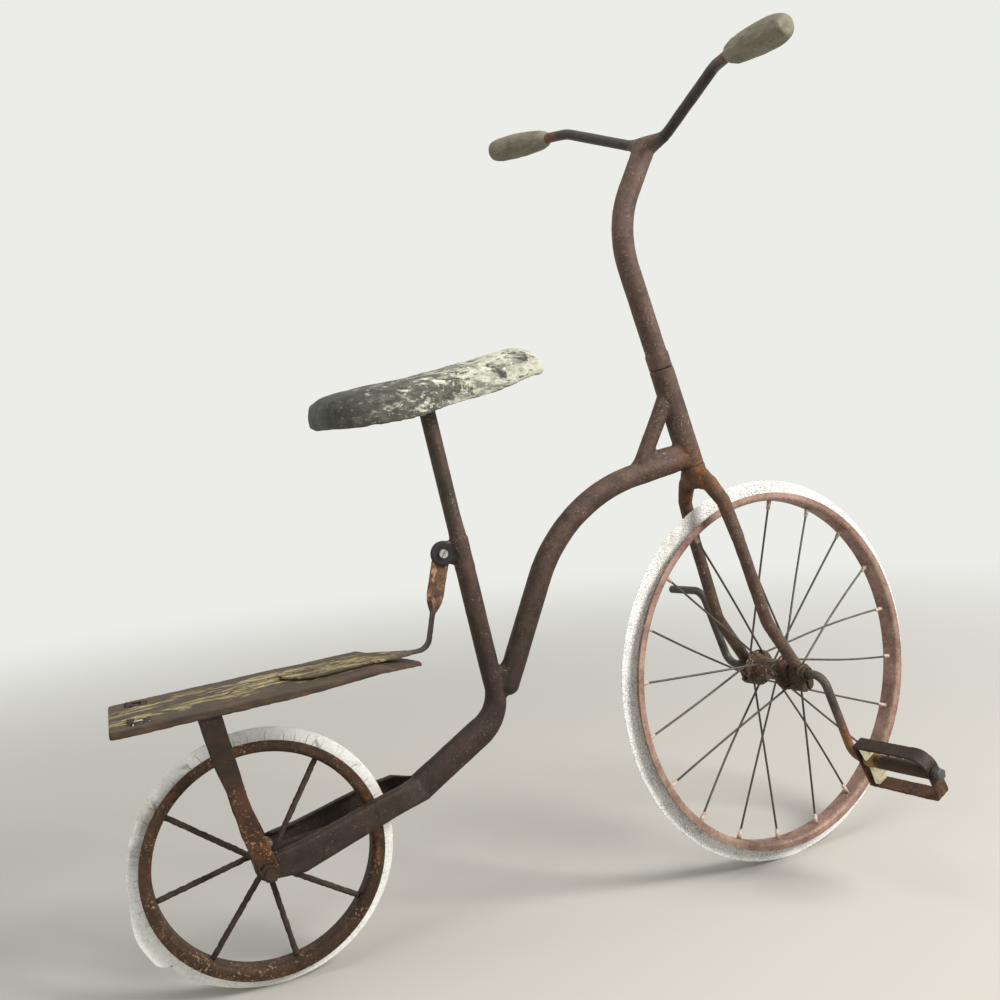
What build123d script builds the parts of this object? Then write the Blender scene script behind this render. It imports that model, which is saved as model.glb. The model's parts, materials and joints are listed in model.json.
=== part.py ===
"""Front-driven child's velocipede: a large driven front wheel with cranks on its axle, a tall
gooseneck stem, one curved main tube, a small trailing wheel in a split rear fork, a saddle on a
low seat tube and a footboard over the rear wheel.

Millimetres. +X is forward, +Y is the rider's left, +Z is up. The pieces are drawn with the
rear axle at zero and are moved at the end so that the origin lies on the saddle, under the rider.
"""

import os
from math import cos, radians, sin, sqrt, tan

from build123d import *

# Wheels
WHEELBASE = 546.0
FRONT_RADIUS = 200.0
REAR_RADIUS = 119.0
TYRE_WIDTH = 19.0
RIM_WIDTH = 21.0
RIM_WALL = 2.2
FRONT_TYRE_SHOWS = 13.0
REAR_TYRE_SHOWS = 10.0

# Steering, measured along its axis from the axis' foot beside the front axle
HEAD_LEAN = 14.73
RAKE = 20.8
REST_STEER = 11.75
HEAD_LENGTH = 104.0
HEAD_TUBE_R = 12.4
HEAD_GAP = 0.6
STEERER_R = 9.5
STEERER_WALL = 2.0
RUNNING_CLEARANCE = 0.05
STEM_GAP = 0.3

# Stem and handlebar
STEM_R = 10.5
STEM_COLLAR_R = 11.6
STEM_COLLAR_LENGTH = 15.0
STEM_STRAIGHT = 104.0
STEM_BEND_R = 100.0
STEM_BEND_ANGLE = 45.0
STEM_TIP = 50.0
BAR_SEAT = 8.0
BAR_R = 4.6
BAR_STUB = 21.0
BAR_REACH = 112.0
BAR_BEND_R = 12.0
GRIP_START = 147.0
GRIP_END = 227.0
GRIP_INNER_R = 9.0
GRIP_OUTER_R = 12.0
GRIP_CAP = 9.0

# Front fork
FORK_HALF_WIDTH = 37.0
BLADE_R = 6.1
CROWN_HEIGHT = 25.0
CROWN_GAP = 13.0
CROWN_NECK = 7.0
CROWN_WIDTH = 30.0
CROWN_DEPTH = 26.0
SHOULDER_DROP = 39.0
BLADE_STRAIGHT_END = 66.0
BLADE_BEND_R = 30.0
BLOCK_WIDTH = 14.0
BLOCK_HEIGHT = 29.0
BLOCK_LENGTH = 19.0
BLOCK_CORNER = 7.0
BLOCK_SPLIT = 2.5
BLOCK_COLLAR_R = 8.0
BLOCK_COLLAR_T = 4.0
CLAMP_BOLT_R = 2.8
CLAMP_BOLT_REACH = 14.0

# Front hub, spokes and cranks
FRONT_HUB_R = 11.0
FRONT_HUB_HALF = 28.0
FRONT_FLANGE_R = 19.0
FRONT_FLANGE_Y = 21.0
FRONT_FLANGE_T = 2.6
FRONT_SPOKES = 20
FRONT_SPOKE_R = 1.15
SPOKE_HEAD_R = 1.5
FRONT_SPOKE_PHASE = -3.0
FRONT_SPOKE_LEAD = 48.0
SPOKE_HOLE_INSET = 3.5
CRANK_ROD_R = 4.4
CRANK_LENGTH = 83.6
CRANK_ANGLE = -95.0
CRANK_ROOT_Y = 68.7
CRANK_TIP_Y = 85.1
CRANK_BEND_R = 15.0
BARE_SPINDLE_Y = 137.0

# Pedal
PEDAL_INNER_Y = 98.0
PEDAL_OUTER_Y = 182.0
PEDAL_SPREAD = 46.0
PEDAL_DROP = 4.0
PEDAL_STRIP_T = 3.0
PEDAL_STRIP_W = 16.0
PEDAL_CORNER_R = 16.0
PEDAL_LOW_CORNER_R = 6.0
PEDAL_TILT = 10.0
PEDAL_NUT_FLATS = 13.0
PEDAL_NUT_T = 6.0
PEDAL_END_PLAY = 0.4
REMNANT_T = 5.0
REMNANT_WIDTH = 14.0
REMNANT_HEIGHT = 11.0

# Rear hub, spokes and axle
REAR_HUB_R = 12.0
REAR_HUB_HALF = 23.0
REAR_AXLE_R = 5.0
REAR_SHOULDER_R = 8.5
REAR_SPOKES = 8
REAR_SPOKE_R = 2.9
REAR_SPOKE_PHASE = 11.0
REAR_SPOKE_Y = 16.0
REAR_END_PLAY = 1.0
AXLE_NUT_FLATS = 15.0
AXLE_NUT_T = 7.0
AXLE_THREAD_SHOWS = 2.6

# Main tube: leaves the head tube, bends down and ends closed beside the seat tube's bend
MAIN_TUBE_R = 11.3
MAIN_TUBE_WALL = 2.0
MAIN_START_RISE = 10.0
MAIN_START_SLOPE = 11.0
MAIN_END_SLOPE = 66.5
MAIN_BEND_R = 154.0
MAIN_END_X = 246.5
MAIN_END_Z = 117.5
BRACE_R = 7.6
BRACE_TOP = 74.0
BRACE_REACH = 49.0

# Seat tube: runs down, bends back and flattens into the tail tube that carries the rear fork
SEAT_LEAN = 8.4
TAIL_CORNER_X = 236.0
TAIL_CORNER_Z = 90.3
TAIL_SLOPE = 33.0
TAIL_BEND_R = 40.0
TAIL_END_X = 150.0
TAIL_HEIGHT = 28.3
TAIL_WIDTH = 21.0
SEAT_TUBE_R = 9.6
SEAT_TUBE_TOP_Z = 264.0
SEAT_POST_R = 7.6
SEAT_POST_TOP_Z = 398.0
POST_FOOT_Z = 160.0
WEB_T = 3.5
WEB_TOP_Z = 165.0
WEB_LOW_Z = 138.0

# Rear fork blades
FORK_SHEET = 2.5
FORK_EYE_R = 11.0
FORK_EYE_Y = 32.0

# Saddle
SEAT_X = 160.0
SADDLE_REAR_X = 86.5
SADDLE_LENGTH = 222.5
SADDLE_WALL = 4.0
PAN_LENGTH = 96.0
PAN_WIDTH = 60.0
PAN_CORNER_R = 12.0
PAN_SHEET = 2.5
PAN_SOCKET = 10.0

# Footboard, the leaf and strap that tie it to the seat tube, and its two stays
BOARD_REAR_X = -117.0
BOARD_REAR_Z = 149.8
BOARD_CREST_X = 112.0
BOARD_CREST_Z = 163.2
BOARD_TIP_X = 162.0
BOARD_TIP_Z = 153.0
BOARD_HALF_WIDTH = 51.0
BOARD_TIP_HALF = 6.0
BOARD_CORNER_R = 9.0
BOARD_LIP = 7.5
BOARD_SLOT_X = -93.5
BOARD_SLOT_Y = 33.0
BOARD_SLOT_LENGTH = 19.0
BOARD_SLOT_WIDTH = 20.0
SHEET = 2.0
LEAF_REAR_X = 29.0
LEAF_HALF_WIDTH = 29.0
LEAF_FRONT_X = 152.0
LEAF_FRONT_Z = 163.0
STRAP_T = 2.5
STRAP_W = 17.0
STRAP_CLIMB_W = 12.0
STRAP_CORNER_X = 170.5
STRAP_CORNER_Z = 163.5
STRAP_TWIST_X = 178.5
STRAP_TWIST_Z = 197.0
STRAP_TWIST_RISE = 16.0
STRAP_BEND_R = 13.0
STAY_SHEET = 2.5
STAY_FLANGE = 8.0
STAY_EYE_R = 9.0
STAY_BEND_Z = 16.0
STAY_TOP_Y = 46.0
STAY_GAP = 0.1

# Lug and screw
LUG_X = 193.0
LUG_Z = 252.0
LUG_T = 4.0
LUG_R = 12.0
SCREW_R = 2.5
SCREW_HEAD_R = 4.1
SCREW_HEAD_T = 2.5
SCREW_NUT_T = 4.0

# Handlebar corners, ahead of and above the bar's middle: beside the stem, bend, grip's ends
BAR_SIDES = {
    -1: ((6, -2), (5, 35), (-10, 35.5), (-23, 32)),
    1: ((-2, 3), (-3, 44.5), (-3, 51), (-23, 65)),
}
# Rear fork blade sections: x, outer face, middle height, half height, depth, corner
FORK_STATIONS = [
    (127, 24.5, 33.0, 12.4, 9.6, 5.0),
    (103, 28.0, 27.0, 13.0, 10.0, 4.0),
    (66, 30.5, 14.6, 13.4, 10.0, 4.0),
    (32, 32.0, 3.4, 14.2, 10.0, 4.0),
    (0, 32.0, 0.0, 11.0, 8.0, 3.0),
]
# Stay outline: height, rear edge x, front edge x
STAY_SIDE = [(0, -9, 9), (16, -15, 4), (36, -21, -3), (70, -27, -12), (104, -38, -18), (152, -47, -27)]
# Saddle sections: share of the length, half width, top, lower edge, corner radius
SADDLE_STATIONS = [
    (0.000, 32, 396.0, 383.0, 8),
    (0.013, 45, 402.5, 379.0, 13),
    (0.040, 57, 406.5, 376.0, 17),
    (0.095, 67, 410.0, 375.5, 19),
    (0.200, 71, 413.5, 377.0, 19),
    (0.390, 61, 418.5, 381.5, 18),
    (0.563, 43, 425.0, 391.0, 17),
    (0.736, 30, 432.8, 401.5, 14),
    (0.887, 24, 438.0, 413.0, 12),
    (0.961, 17, 434.0, 416.5, 9),
    (1.000, 8, 424.0, 418.0, 4),
]

# Places that follow from the sizes
LEAN = radians(HEAD_LEAN)
TURN = radians(REST_STEER)
FRONT_AXLE_Z = (
    FRONT_RADIUS * sqrt(1 - (sin(LEAN) * sin(TURN)) ** 2)
    - REAR_RADIUS
    + RAKE * sin(LEAN) * (1 - cos(TURN))
)
AXIS_FOOT = Vector(WHEELBASE - RAKE * cos(LEAN), 0, FRONT_AXLE_Z - RAKE * sin(LEAN))
STEER_AXIS = Vector(-sin(LEAN), 0, cos(LEAN))
SEAT_AXIS = Vector(-sin(radians(SEAT_LEAN)), 0, cos(radians(SEAT_LEAN)))
HEAD_LOW = FRONT_RADIUS + CROWN_GAP + CROWN_HEIGHT
HEAD_TOP = HEAD_LOW + HEAD_LENGTH
CROWN_LOW = HEAD_LOW - CROWN_HEIGHT
FRONT_AXLE = Vector(RAKE, 0, 0)
CRANK_DIR = Vector(cos(radians(CRANK_ANGLE)), 0, sin(radians(CRANK_ANGLE)))
PEDAL_CENTRE = FRONT_AXLE + CRANK_DIR * CRANK_LENGTH
STAY_INNER_Y = FORK_EYE_Y + STAY_GAP
NUT_Y = STAY_INNER_Y + STAY_SHEET + STAY_GAP
REACH = 2 * WHEELBASE


def on_steering(solid):
    """Place a piece drawn along the steering axis, turned to the resting angle."""
    turned = Rot(0, 0, REST_STEER) * solid
    return Pos(*AXIS_FOOT) * (Rot(0, -HEAD_LEAN, 0) * turned)


def rod(start, end, radius):
    """A round bar between two points."""
    start, end = Vector(*start), Vector(*end)
    plane = Plane(origin=start, z_dir=end - start)
    return extrude(plane * Circle(radius), (end - start).length)


def bent_rod(points, bend, radius):
    """A round bar along straight stretches with bends of one radius."""
    path = FilletPolyline(*points, radius=bend)
    section = Plane(origin=path @ 0, z_dir=path % 0) * Circle(radius)
    return sweep(section, path=path)


def side_plate(points, half_width):
    """A flat outline in the bicycle's middle plane, thickened to both sides."""
    return extrude(Plane.XZ * Polygon(*points, align=None), half_width, both=True)


def largest(shape):
    """The biggest solid left by a cut."""
    return shape.solids().sort_by(SortBy.VOLUME)[-1]


def mirrored(solid):
    """The same piece on the other side of the bicycle."""
    return mirror(solid, about=Plane.XZ)


def head_point(w, u=0.0):
    """A point u ahead of the steering axis at height w along it, wheel straight or turned."""
    forward = Vector(cos(LEAN), 0, sin(LEAN))
    return AXIS_FOOT + STEER_AXIS * w + forward * u


def seat_point(z):
    """The seat tube's centre at a height."""
    return Vector(TAIL_CORNER_X - (z - TAIL_CORNER_Z) * tan(radians(SEAT_LEAN)), 0, z)


# Wheels, drawn upright about the Y axis through zero


def tyre(radius):
    """Solid rubber ring of round section."""
    return revolve(Plane.XY * (Pos(radius - TYRE_WIDTH / 2, 0) * Circle(TYRE_WIDTH / 2)), Axis.Y, 360)


def rim_floor(radius):
    """Radius of the rim's inner face."""
    return radius - TYRE_WIDTH - RIM_WALL


def rim(radius, tyre_shows):
    """Rolled trough, open outward, that holds the tyre between two lips."""
    floor_r = rim_floor(radius)
    depth = radius - tyre_shows - floor_r
    outer = Pos(floor_r + depth / 2, 0) * Rectangle(depth, RIM_WIDTH)
    outer = fillet(outer.vertices().group_by(Axis.X)[0], depth * 0.45)
    room = Pos(radius - TYRE_WIDTH / 2, 0) * Circle(TYRE_WIDTH / 2)
    return revolve(Plane.XY * (outer - room), Axis.Y, 360)


def front_hub():
    """Barrel with two flanges, clamped on the crank axle."""
    profile = Rectangle(FRONT_HUB_R, 2 * FRONT_HUB_HALF, align=(Align.MIN, Align.CENTER))
    for side in (-1, 1):
        profile += Pos(0, side * FRONT_FLANGE_Y) * Rectangle(
            FRONT_FLANGE_R, FRONT_FLANGE_T, align=(Align.MIN, Align.CENTER)
        )
    profile -= Rectangle(CRANK_ROD_R, 4 * FRONT_HUB_HALF, align=(Align.MIN, Align.CENTER))
    hub = revolve(Plane.XY * profile, Axis.Y, 360)
    for number in range(FRONT_SPOKES):
        hub -= spoke_peg(number, SPOKE_HEAD_R)
    return hub


def spoke_side(number):
    """Flange side and lacing direction of one front spoke."""
    side = 1 if number % 2 == 0 else -1
    lead = -1 if number % 4 in (1, 2) else 1
    return side, lead


def spoke_root(number):
    """Where a front spoke leaves its flange hole, and its rim angle."""
    side, lead = spoke_side(number)
    rim_angle = FRONT_SPOKE_PHASE + number * 360 / FRONT_SPOKES
    hole_angle = radians(rim_angle + lead * FRONT_SPOKE_LEAD)
    hole_r = FRONT_FLANGE_R - SPOKE_HOLE_INSET
    face = FRONT_FLANGE_Y + lead * (FRONT_FLANGE_T / 2 + FRONT_SPOKE_R)
    return Vector(hole_r * cos(hole_angle), side * face, hole_r * sin(hole_angle)), rim_angle


def spoke_peg(number, radius):
    """The bent end of a front spoke that passes through the flange."""
    side, lead = spoke_side(number)
    root, _ = spoke_root(number)
    reach = -side * lead * (FRONT_FLANGE_T + 2.2 * FRONT_SPOKE_R)
    return rod(root, root + Vector(0, reach, 0), radius)


def front_spokes(rim_solid, hub_solid):
    """Tangent wire spokes, crossing in pairs."""
    rim_reach = rim_floor(FRONT_RADIUS) + RIM_WALL / 2
    wires = []
    for number in range(FRONT_SPOKES):
        root, rim_angle = spoke_root(number)
        tip = Vector(rim_reach * cos(radians(rim_angle)), 0, rim_reach * sin(radians(rim_angle)))
        wire = rod(root - (tip - root).normalized() * FRONT_SPOKE_R, tip, FRONT_SPOKE_R)
        wire += spoke_peg(number, SPOKE_HEAD_R)
        wires.append(largest(wire - rim_solid - hub_solid))
    return Compound(children=wires)


def rear_hub():
    """Plain barrel turning on the fixed axle."""
    profile = Rectangle(REAR_HUB_R, 2 * REAR_HUB_HALF, align=(Align.MIN, Align.CENTER))
    bore = REAR_AXLE_R + RUNNING_CLEARANCE
    profile -= Rectangle(bore, 4 * REAR_HUB_HALF, align=(Align.MIN, Align.CENTER))
    return revolve(Plane.XY * profile, Axis.Y, 360)


def rear_spokes(rim_solid, hub_solid):
    """Thick rods, leaning in turn from one end of the hub and the other."""
    rim_reach = rim_floor(REAR_RADIUS) + RIM_WALL / 2
    rods = []
    for number in range(REAR_SPOKES):
        side = 1 if number % 2 == 0 else -1
        angle = radians(REAR_SPOKE_PHASE + number * 360 / REAR_SPOKES)
        out = Vector(cos(angle), 0, sin(angle))
        start = out * (REAR_HUB_R / 2) + Vector(0, side * REAR_SPOKE_Y, 0)
        rods.append(rod(start, out * rim_reach, REAR_SPOKE_R) - rim_solid - hub_solid)
    return Compound(children=[s for one in rods for s in one.solids()])


# Steering pieces, drawn along the steering axis


def steerer():
    """Tube that turns inside the head tube and carries the stem and the crown."""
    tube = Circle(STEERER_R) - Circle(STEERER_R - STEERER_WALL)
    length = HEAD_LENGTH + STEM_COLLAR_LENGTH + CROWN_HEIGHT / 2
    return extrude(Plane.XY.offset(HEAD_LOW - CROWN_HEIGHT / 2) * tube, length)


def stem_corners():
    """The stem's foot, the corner of its bend, and the direction and start of its tip."""
    angle = radians(STEM_BEND_ANGLE)
    tangent = STEM_BEND_R * tan(angle / 2)
    foot = Vector(0, 0, HEAD_TOP + STEM_GAP)
    corner = Vector(0, 0, HEAD_TOP + STEM_STRAIGHT + tangent)
    tip_dir = Vector(sin(angle), 0, cos(angle))
    return foot, corner, corner + tip_dir * (tangent + STEM_TIP), tip_dir


def bar_middle():
    """Where the handlebar crosses the stem's head."""
    _, _, end, tip_dir = stem_corners()
    return end + tip_dir * BAR_SEAT


def stem(bar):
    """Gooseneck tube with a collar at its foot, closed and rounded at the bar."""
    foot, corner, end, _ = stem_corners()
    tube = bent_rod([foot, corner, end], STEM_BEND_R, STEM_R)
    tube += Pos(*end) * Sphere(STEM_R)
    tube += extrude(Plane.XY.offset(foot.Z) * Circle(STEM_COLLAR_R), STEM_COLLAR_LENGTH)
    socket = extrude(Plane.XY.offset(HEAD_TOP) * Circle(STEERER_R), STEM_COLLAR_LENGTH)
    return tube - socket - bar


def bar_points(side):
    """Corners of one half of the handlebar, from beside the stem to the grip's outer end."""
    reaches = (BAR_STUB, BAR_REACH, GRIP_START, GRIP_END)
    middle = bar_middle()
    return [middle + Vector(u, side * reach, w) for reach, (u, w) in zip(reaches, BAR_SIDES[side])]


def handlebar():
    """One bent rod through the stem's head."""
    right = bar_points(-1)
    left = bar_points(1)
    start = right[3] + (right[2] - right[3]).normalized() * GRIP_CAP
    end = left[3] + (left[2] - left[3]).normalized() * GRIP_CAP
    corners = [start, right[2], right[1], right[0], left[0], left[1], left[2], end]
    return bent_rod(corners, BAR_BEND_R, BAR_R)


def grip(side, bar):
    """Rubber sleeve that swells to a rounded outer end."""
    _, _, root, end = bar_points(side)
    along = (end - root).normalized()
    start = root + along * BAR_R
    length = (end - start).length
    profile = Polygon((0, 0), (GRIP_INNER_R, 0), (GRIP_OUTER_R, length), (0, length), align=None)
    rounded = profile.vertices().sort_by_distance((GRIP_OUTER_R, length))[0]
    profile = fillet(rounded, GRIP_OUTER_R * 0.55)
    sleeve = Plane(origin=start, z_dir=along).location * revolve(Plane.XZ * profile, Axis.Z, 360)
    bore = rod(start - along * BAR_R, end - along * GRIP_CAP, BAR_R)
    return largest(sleeve - bore - bar)


def fork_crown():
    """Block under the head tube, round at the neck and broad where the blades enter."""
    block = extrude(
        Plane.XY.offset(CROWN_LOW) * RectangleRounded(CROWN_DEPTH, CROWN_WIDTH, CROWN_DEPTH * 0.4),
        CROWN_HEIGHT - CROWN_NECK,
    )
    block = fillet(block.faces().sort_by(Axis.Z)[0].edges(), 5)
    block = chamfer(block.faces().sort_by(Axis.Z)[-1].edges(), 3)
    neck = extrude(Plane.XY.offset(HEAD_LOW - CROWN_NECK - 1) * Circle(HEAD_TUBE_R), CROWN_NECK + 1)
    bore = extrude(Plane.XY.offset(HEAD_LOW - CROWN_HEIGHT / 2) * Circle(STEERER_R), CROWN_HEIGHT)
    return (block + neck) - bore


def fork_blade(side, crown, block):
    """Bar from the crown, over its shoulder and down, swept forward to the axle."""
    y = FORK_HALF_WIDTH * side
    points = [
        (0, y * 0.3, HEAD_LOW - CROWN_NECK),
        (0, y * 0.8, HEAD_LOW - SHOULDER_DROP),
        (0, y * 0.91, HEAD_LOW - 2 * SHOULDER_DROP),
        (0, y, BLADE_STRAIGHT_END),
        (RAKE, y, CRANK_ROD_R),
    ]
    blade = bent_rod(points, BLADE_BEND_R, BLADE_R)
    stem_room = rod((0, 0, CROWN_LOW), (0, 0, HEAD_LOW), STEERER_R)
    return largest(blade - crown - block - crank_room() - stem_room)


def bearing_block(side):
    """Split bearing at the blade's end, closed underneath by a clamp bolt."""
    y = FORK_HALF_WIDTH * side
    drop = (BLOCK_HEIGHT - BLOCK_LENGTH) / 2
    body = Pos(RAKE, y, -drop) * Box(BLOCK_LENGTH, BLOCK_WIDTH, BLOCK_HEIGHT)
    body = fillet(body.edges().filter_by(Axis.Y), BLOCK_CORNER)
    face = y + side * BLOCK_WIDTH / 2
    body += rod((RAKE, face, 0), (RAKE, face + side * BLOCK_COLLAR_T, 0), BLOCK_COLLAR_R)
    split = Pos(RAKE, y, -BLOCK_HEIGHT / 2) * Box(BLOCK_SPLIT, 2 * BLOCK_WIDTH, BLOCK_HEIGHT)
    height = -CRANK_ROD_R - 2 * CLAMP_BOLT_R
    bolt = rod((RAKE - CLAMP_BOLT_REACH, y, height), (RAKE + CLAMP_BOLT_REACH, y, height), CLAMP_BOLT_R)
    return (body - split + bolt) - crank_room()


def crank_room():
    """The bore that the axle turns in, through both bearing blocks."""
    y = FORK_HALF_WIDTH + BLOCK_WIDTH
    return rod((RAKE, -y, 0), (RAKE, y, 0), CRANK_ROD_R + RUNNING_CLEARANCE)


def crank_axle():
    """One bent rod: bare left spindle, left crank, axle, right crank, right spindle."""
    low = PEDAL_CENTRE
    high = FRONT_AXLE - CRANK_DIR * CRANK_LENGTH
    tip = PEDAL_OUTER_Y + PEDAL_END_PLAY + PEDAL_NUT_T
    points = [
        (high.X, BARE_SPINDLE_Y, high.Z),
        (high.X, CRANK_TIP_Y, high.Z),
        (RAKE, CRANK_ROOT_Y, 0),
        (RAKE, -CRANK_ROOT_Y, 0),
        (low.X, -CRANK_TIP_Y, low.Z),
        (low.X, -tip, low.Z),
    ]
    return bent_rod(points, CRANK_BEND_R, CRANK_ROD_R)


def pedal_plane(y, drop=0.0):
    """Plane across the spindle at a distance from the wheel, tilted with the pedal."""
    tilt = radians(PEDAL_TILT)
    centre = PEDAL_CENTRE + Vector(sin(tilt), 0, -cos(tilt)) * drop
    return Plane(origin=(centre.X, -y, centre.Z), x_dir=(cos(tilt), 0, sin(tilt)), z_dir=(0, -1, 0))


def pedal_bore():
    """Room for the spindle through the pedal."""
    low = PEDAL_CENTRE
    radius = CRANK_ROD_R + RUNNING_CLEARANCE
    return rod((low.X, -PEDAL_INNER_Y / 2, low.Z), (low.X, -2 * PEDAL_OUTER_Y, low.Z), radius)


def pedal_frame():
    """Flat strip bent to a U, open towards the crank, hanging a little below its spindle."""
    plane = pedal_plane(PEDAL_OUTER_Y, PEDAL_DROP)
    side_plane = Plane(origin=plane.origin, x_dir=plane.y_dir, z_dir=plane.x_dir)
    length = PEDAL_OUTER_Y - PEDAL_INNER_Y
    height = PEDAL_SPREAD + PEDAL_STRIP_T
    corners = [(-height / 2, -length), (-height / 2, 0), (height / 2, 0), (height / 2, -length)]
    outer = Polygon(*corners, align=None)
    low, top = outer.vertices().group_by(Axis.Y)[-1].sort_by(Axis.X)
    outer = fillet(low, PEDAL_LOW_CORNER_R)
    outer = fillet(outer.vertices().sort_by_distance(top)[0], PEDAL_CORNER_R)
    band = outer - offset(outer, -PEDAL_STRIP_T) - Pos(0, -length) * Rectangle(
        height - 2 * PEDAL_STRIP_T, 4 * PEDAL_STRIP_T
    )
    solid = extrude(side_plane * band, PEDAL_STRIP_W / 2, both=True)
    return solid - pedal_bore()


def pedal_plate():
    """Cross plate at the pedal's inner end, between the strip's two arms."""
    height = PEDAL_SPREAD - PEDAL_STRIP_T
    plane = pedal_plane(PEDAL_INNER_Y, PEDAL_DROP)
    plate = extrude(plane * Rectangle(PEDAL_STRIP_W, height), PEDAL_STRIP_T)
    return plate - pedal_bore()


def pedal_remnants():
    """Two broken corners of the lost tread block, still stuck to the cross plate."""
    plane = pedal_plane(PEDAL_INNER_Y + PEDAL_STRIP_T, PEDAL_DROP)
    edge = PEDAL_SPREAD / 2 - PEDAL_STRIP_T / 2
    half = REMNANT_WIDTH / 2
    upper = Polygon((-half, edge), (half, edge), (half * 0.3, edge - REMNANT_HEIGHT), align=None)
    lower = Polygon((-half, -edge), (half, -edge), (0, REMNANT_HEIGHT - edge), align=None)
    pieces = [extrude(plane * one, REMNANT_T, dir=plane.z_dir) - pedal_bore() for one in (upper, lower)]
    return Compound(children=[p for one in pieces for p in one.solids()])


def pedal_nut():
    """Hexagon nut that keeps the pedal on its spindle."""
    plane = pedal_plane(PEDAL_OUTER_Y + PEDAL_END_PLAY)
    hexagon = RegularPolygon(PEDAL_NUT_FLATS / 2, 6, major_radius=False) - Circle(CRANK_ROD_R)
    return extrude(plane * hexagon, PEDAL_NUT_T)


# Frame pieces


def head_plane(w):
    """Plane across the steering axis."""
    return Plane(origin=head_point(w), x_dir=(0, 1, 0), z_dir=STEER_AXIS)


def head_tube():
    """Short thick tube that holds the steerer."""
    ring = Circle(HEAD_TUBE_R) - Circle(STEERER_R + RUNNING_CLEARANCE)
    return extrude(head_plane(HEAD_LOW + HEAD_GAP) * ring, HEAD_LENGTH - HEAD_GAP)


def head_core():
    """The head tube's full outline, used to shape the tubes that meet it."""
    return extrude(head_plane(CROWN_LOW) * Circle(HEAD_TUBE_R), HEAD_LENGTH + CROWN_HEIGHT)


def main_start():
    """The main tube's start on the steering axis."""
    return head_point(HEAD_LOW + MAIN_START_RISE)


def main_corner():
    """Where the main tube's two straight stretches would cross."""
    start = main_start()
    a, b = radians(MAIN_START_SLOPE), radians(MAIN_END_SLOPE)
    reach = (start.X - MAIN_END_X) * sin(b) - (start.Z - MAIN_END_Z) * cos(b)
    along = reach / (cos(a) * sin(b) - sin(a) * cos(b))
    return Vector(start.X - along * cos(a), 0, start.Z - along * sin(a))


def main_bar(radius, end_cut=0.0):
    """Round bar along the main tube's centre line, cut short at its lower end."""
    end = Vector(MAIN_END_X, 0, MAIN_END_Z)
    corner = main_corner()
    end = end + (corner - end).normalized() * end_cut
    return bent_rod([main_start(), corner, end], MAIN_BEND_R, radius)


def crown_room():
    """Space that the turning crown needs under the head tube."""
    radius = sqrt(CROWN_WIDTH**2 + CROWN_DEPTH**2) / 2 + HEAD_GAP
    return extrude(head_plane(CROWN_LOW) * Circle(radius), CROWN_HEIGHT + HEAD_GAP)


def main_tube(seat_solid):
    """Curved top tube, hollow, with a closed lower end."""
    end = Pos(MAIN_END_X, 0, MAIN_END_Z) * Sphere(MAIN_TUBE_R)
    inner = main_bar(MAIN_TUBE_R - MAIN_TUBE_WALL, MAIN_TUBE_WALL)
    tube = main_bar(MAIN_TUBE_R) + end
    return largest(tube - inner - head_core() - crown_room() - seat_solid)


def head_brace():
    """Short strut from the upper head tube down to the main tube."""
    top = head_point(HEAD_LOW + BRACE_TOP)
    start, corner = main_start(), main_corner()
    low = start + (corner - start).normalized() * BRACE_REACH
    return largest(rod(top, low, BRACE_R) - head_core() - main_bar(MAIN_TUBE_R))


def tail_sections():
    """Sections of the bend below the seat tube, from round to a tall oval."""
    turn = radians(90 - TAIL_SLOPE + SEAT_LEAN)
    corner = Vector(TAIL_CORNER_X, 0, TAIL_CORNER_Z)
    tangent = TAIL_BEND_R * tan(turn / 2)
    lean = radians(SEAT_LEAN)
    centre = corner + SEAT_AXIS * tangent - Vector(cos(lean), 0, sin(lean)) * TAIL_BEND_R
    faces = []
    for share in (0, 0.25, 0.5, 0.75, 1):
        angle = lean - turn * share
        out = Vector(cos(angle), 0, sin(angle))
        height = 2 * SEAT_TUBE_R + (TAIL_HEIGHT - 2 * SEAT_TUBE_R) * share
        width = 2 * SEAT_TUBE_R + (TAIL_WIDTH - 2 * SEAT_TUBE_R) * share
        along = Vector(sin(angle), 0, -cos(angle))
        plane = Plane(origin=centre + out * TAIL_BEND_R, x_dir=(0, 1, 0), z_dir=along)
        faces.append(plane * Ellipse(width / 2, height / 2))
    return faces


def tail_end():
    """The tail tube's end, where it splits into the rear fork."""
    drop = (TAIL_CORNER_X - TAIL_END_X) * tan(radians(TAIL_SLOPE))
    return Vector(TAIL_END_X, 0, TAIL_CORNER_Z - drop)


def seat_core():
    """Outline of the seat tube's straight stretch, used to shape what meets it."""
    foot = tail_sections()[0].center()
    return rod(foot, seat_point(SEAT_TUBE_TOP_Z), SEAT_TUBE_R)


def post_room():
    """The room for the post inside the seat tube."""
    return rod(seat_point(POST_FOOT_Z), seat_point(SEAT_POST_TOP_Z), SEAT_POST_R)


def seat_tube():
    """Seat tube, its bend and the flattened tail tube in one piece."""
    sections = tail_sections()
    tail = extrude(sections[-1], amount=(tail_end() - sections[-1].center()).length)
    return seat_core() + loft(sections) + tail - post_room()


def joint_web(seat_solid):
    """Small plate in the corner between the main tube and the seat tube."""
    low, top = seat_point(WEB_LOW_Z), seat_point(WEB_TOP_Z)
    span = 4 * SEAT_TUBE_R
    plate = side_plate(
        [(low.X, low.Z), (top.X, top.Z), (top.X + span, top.Z), (low.X + span, low.Z)], WEB_T / 2
    )
    return largest(plate - seat_solid - main_bar(MAIN_TUBE_R) - post_room())


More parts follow.
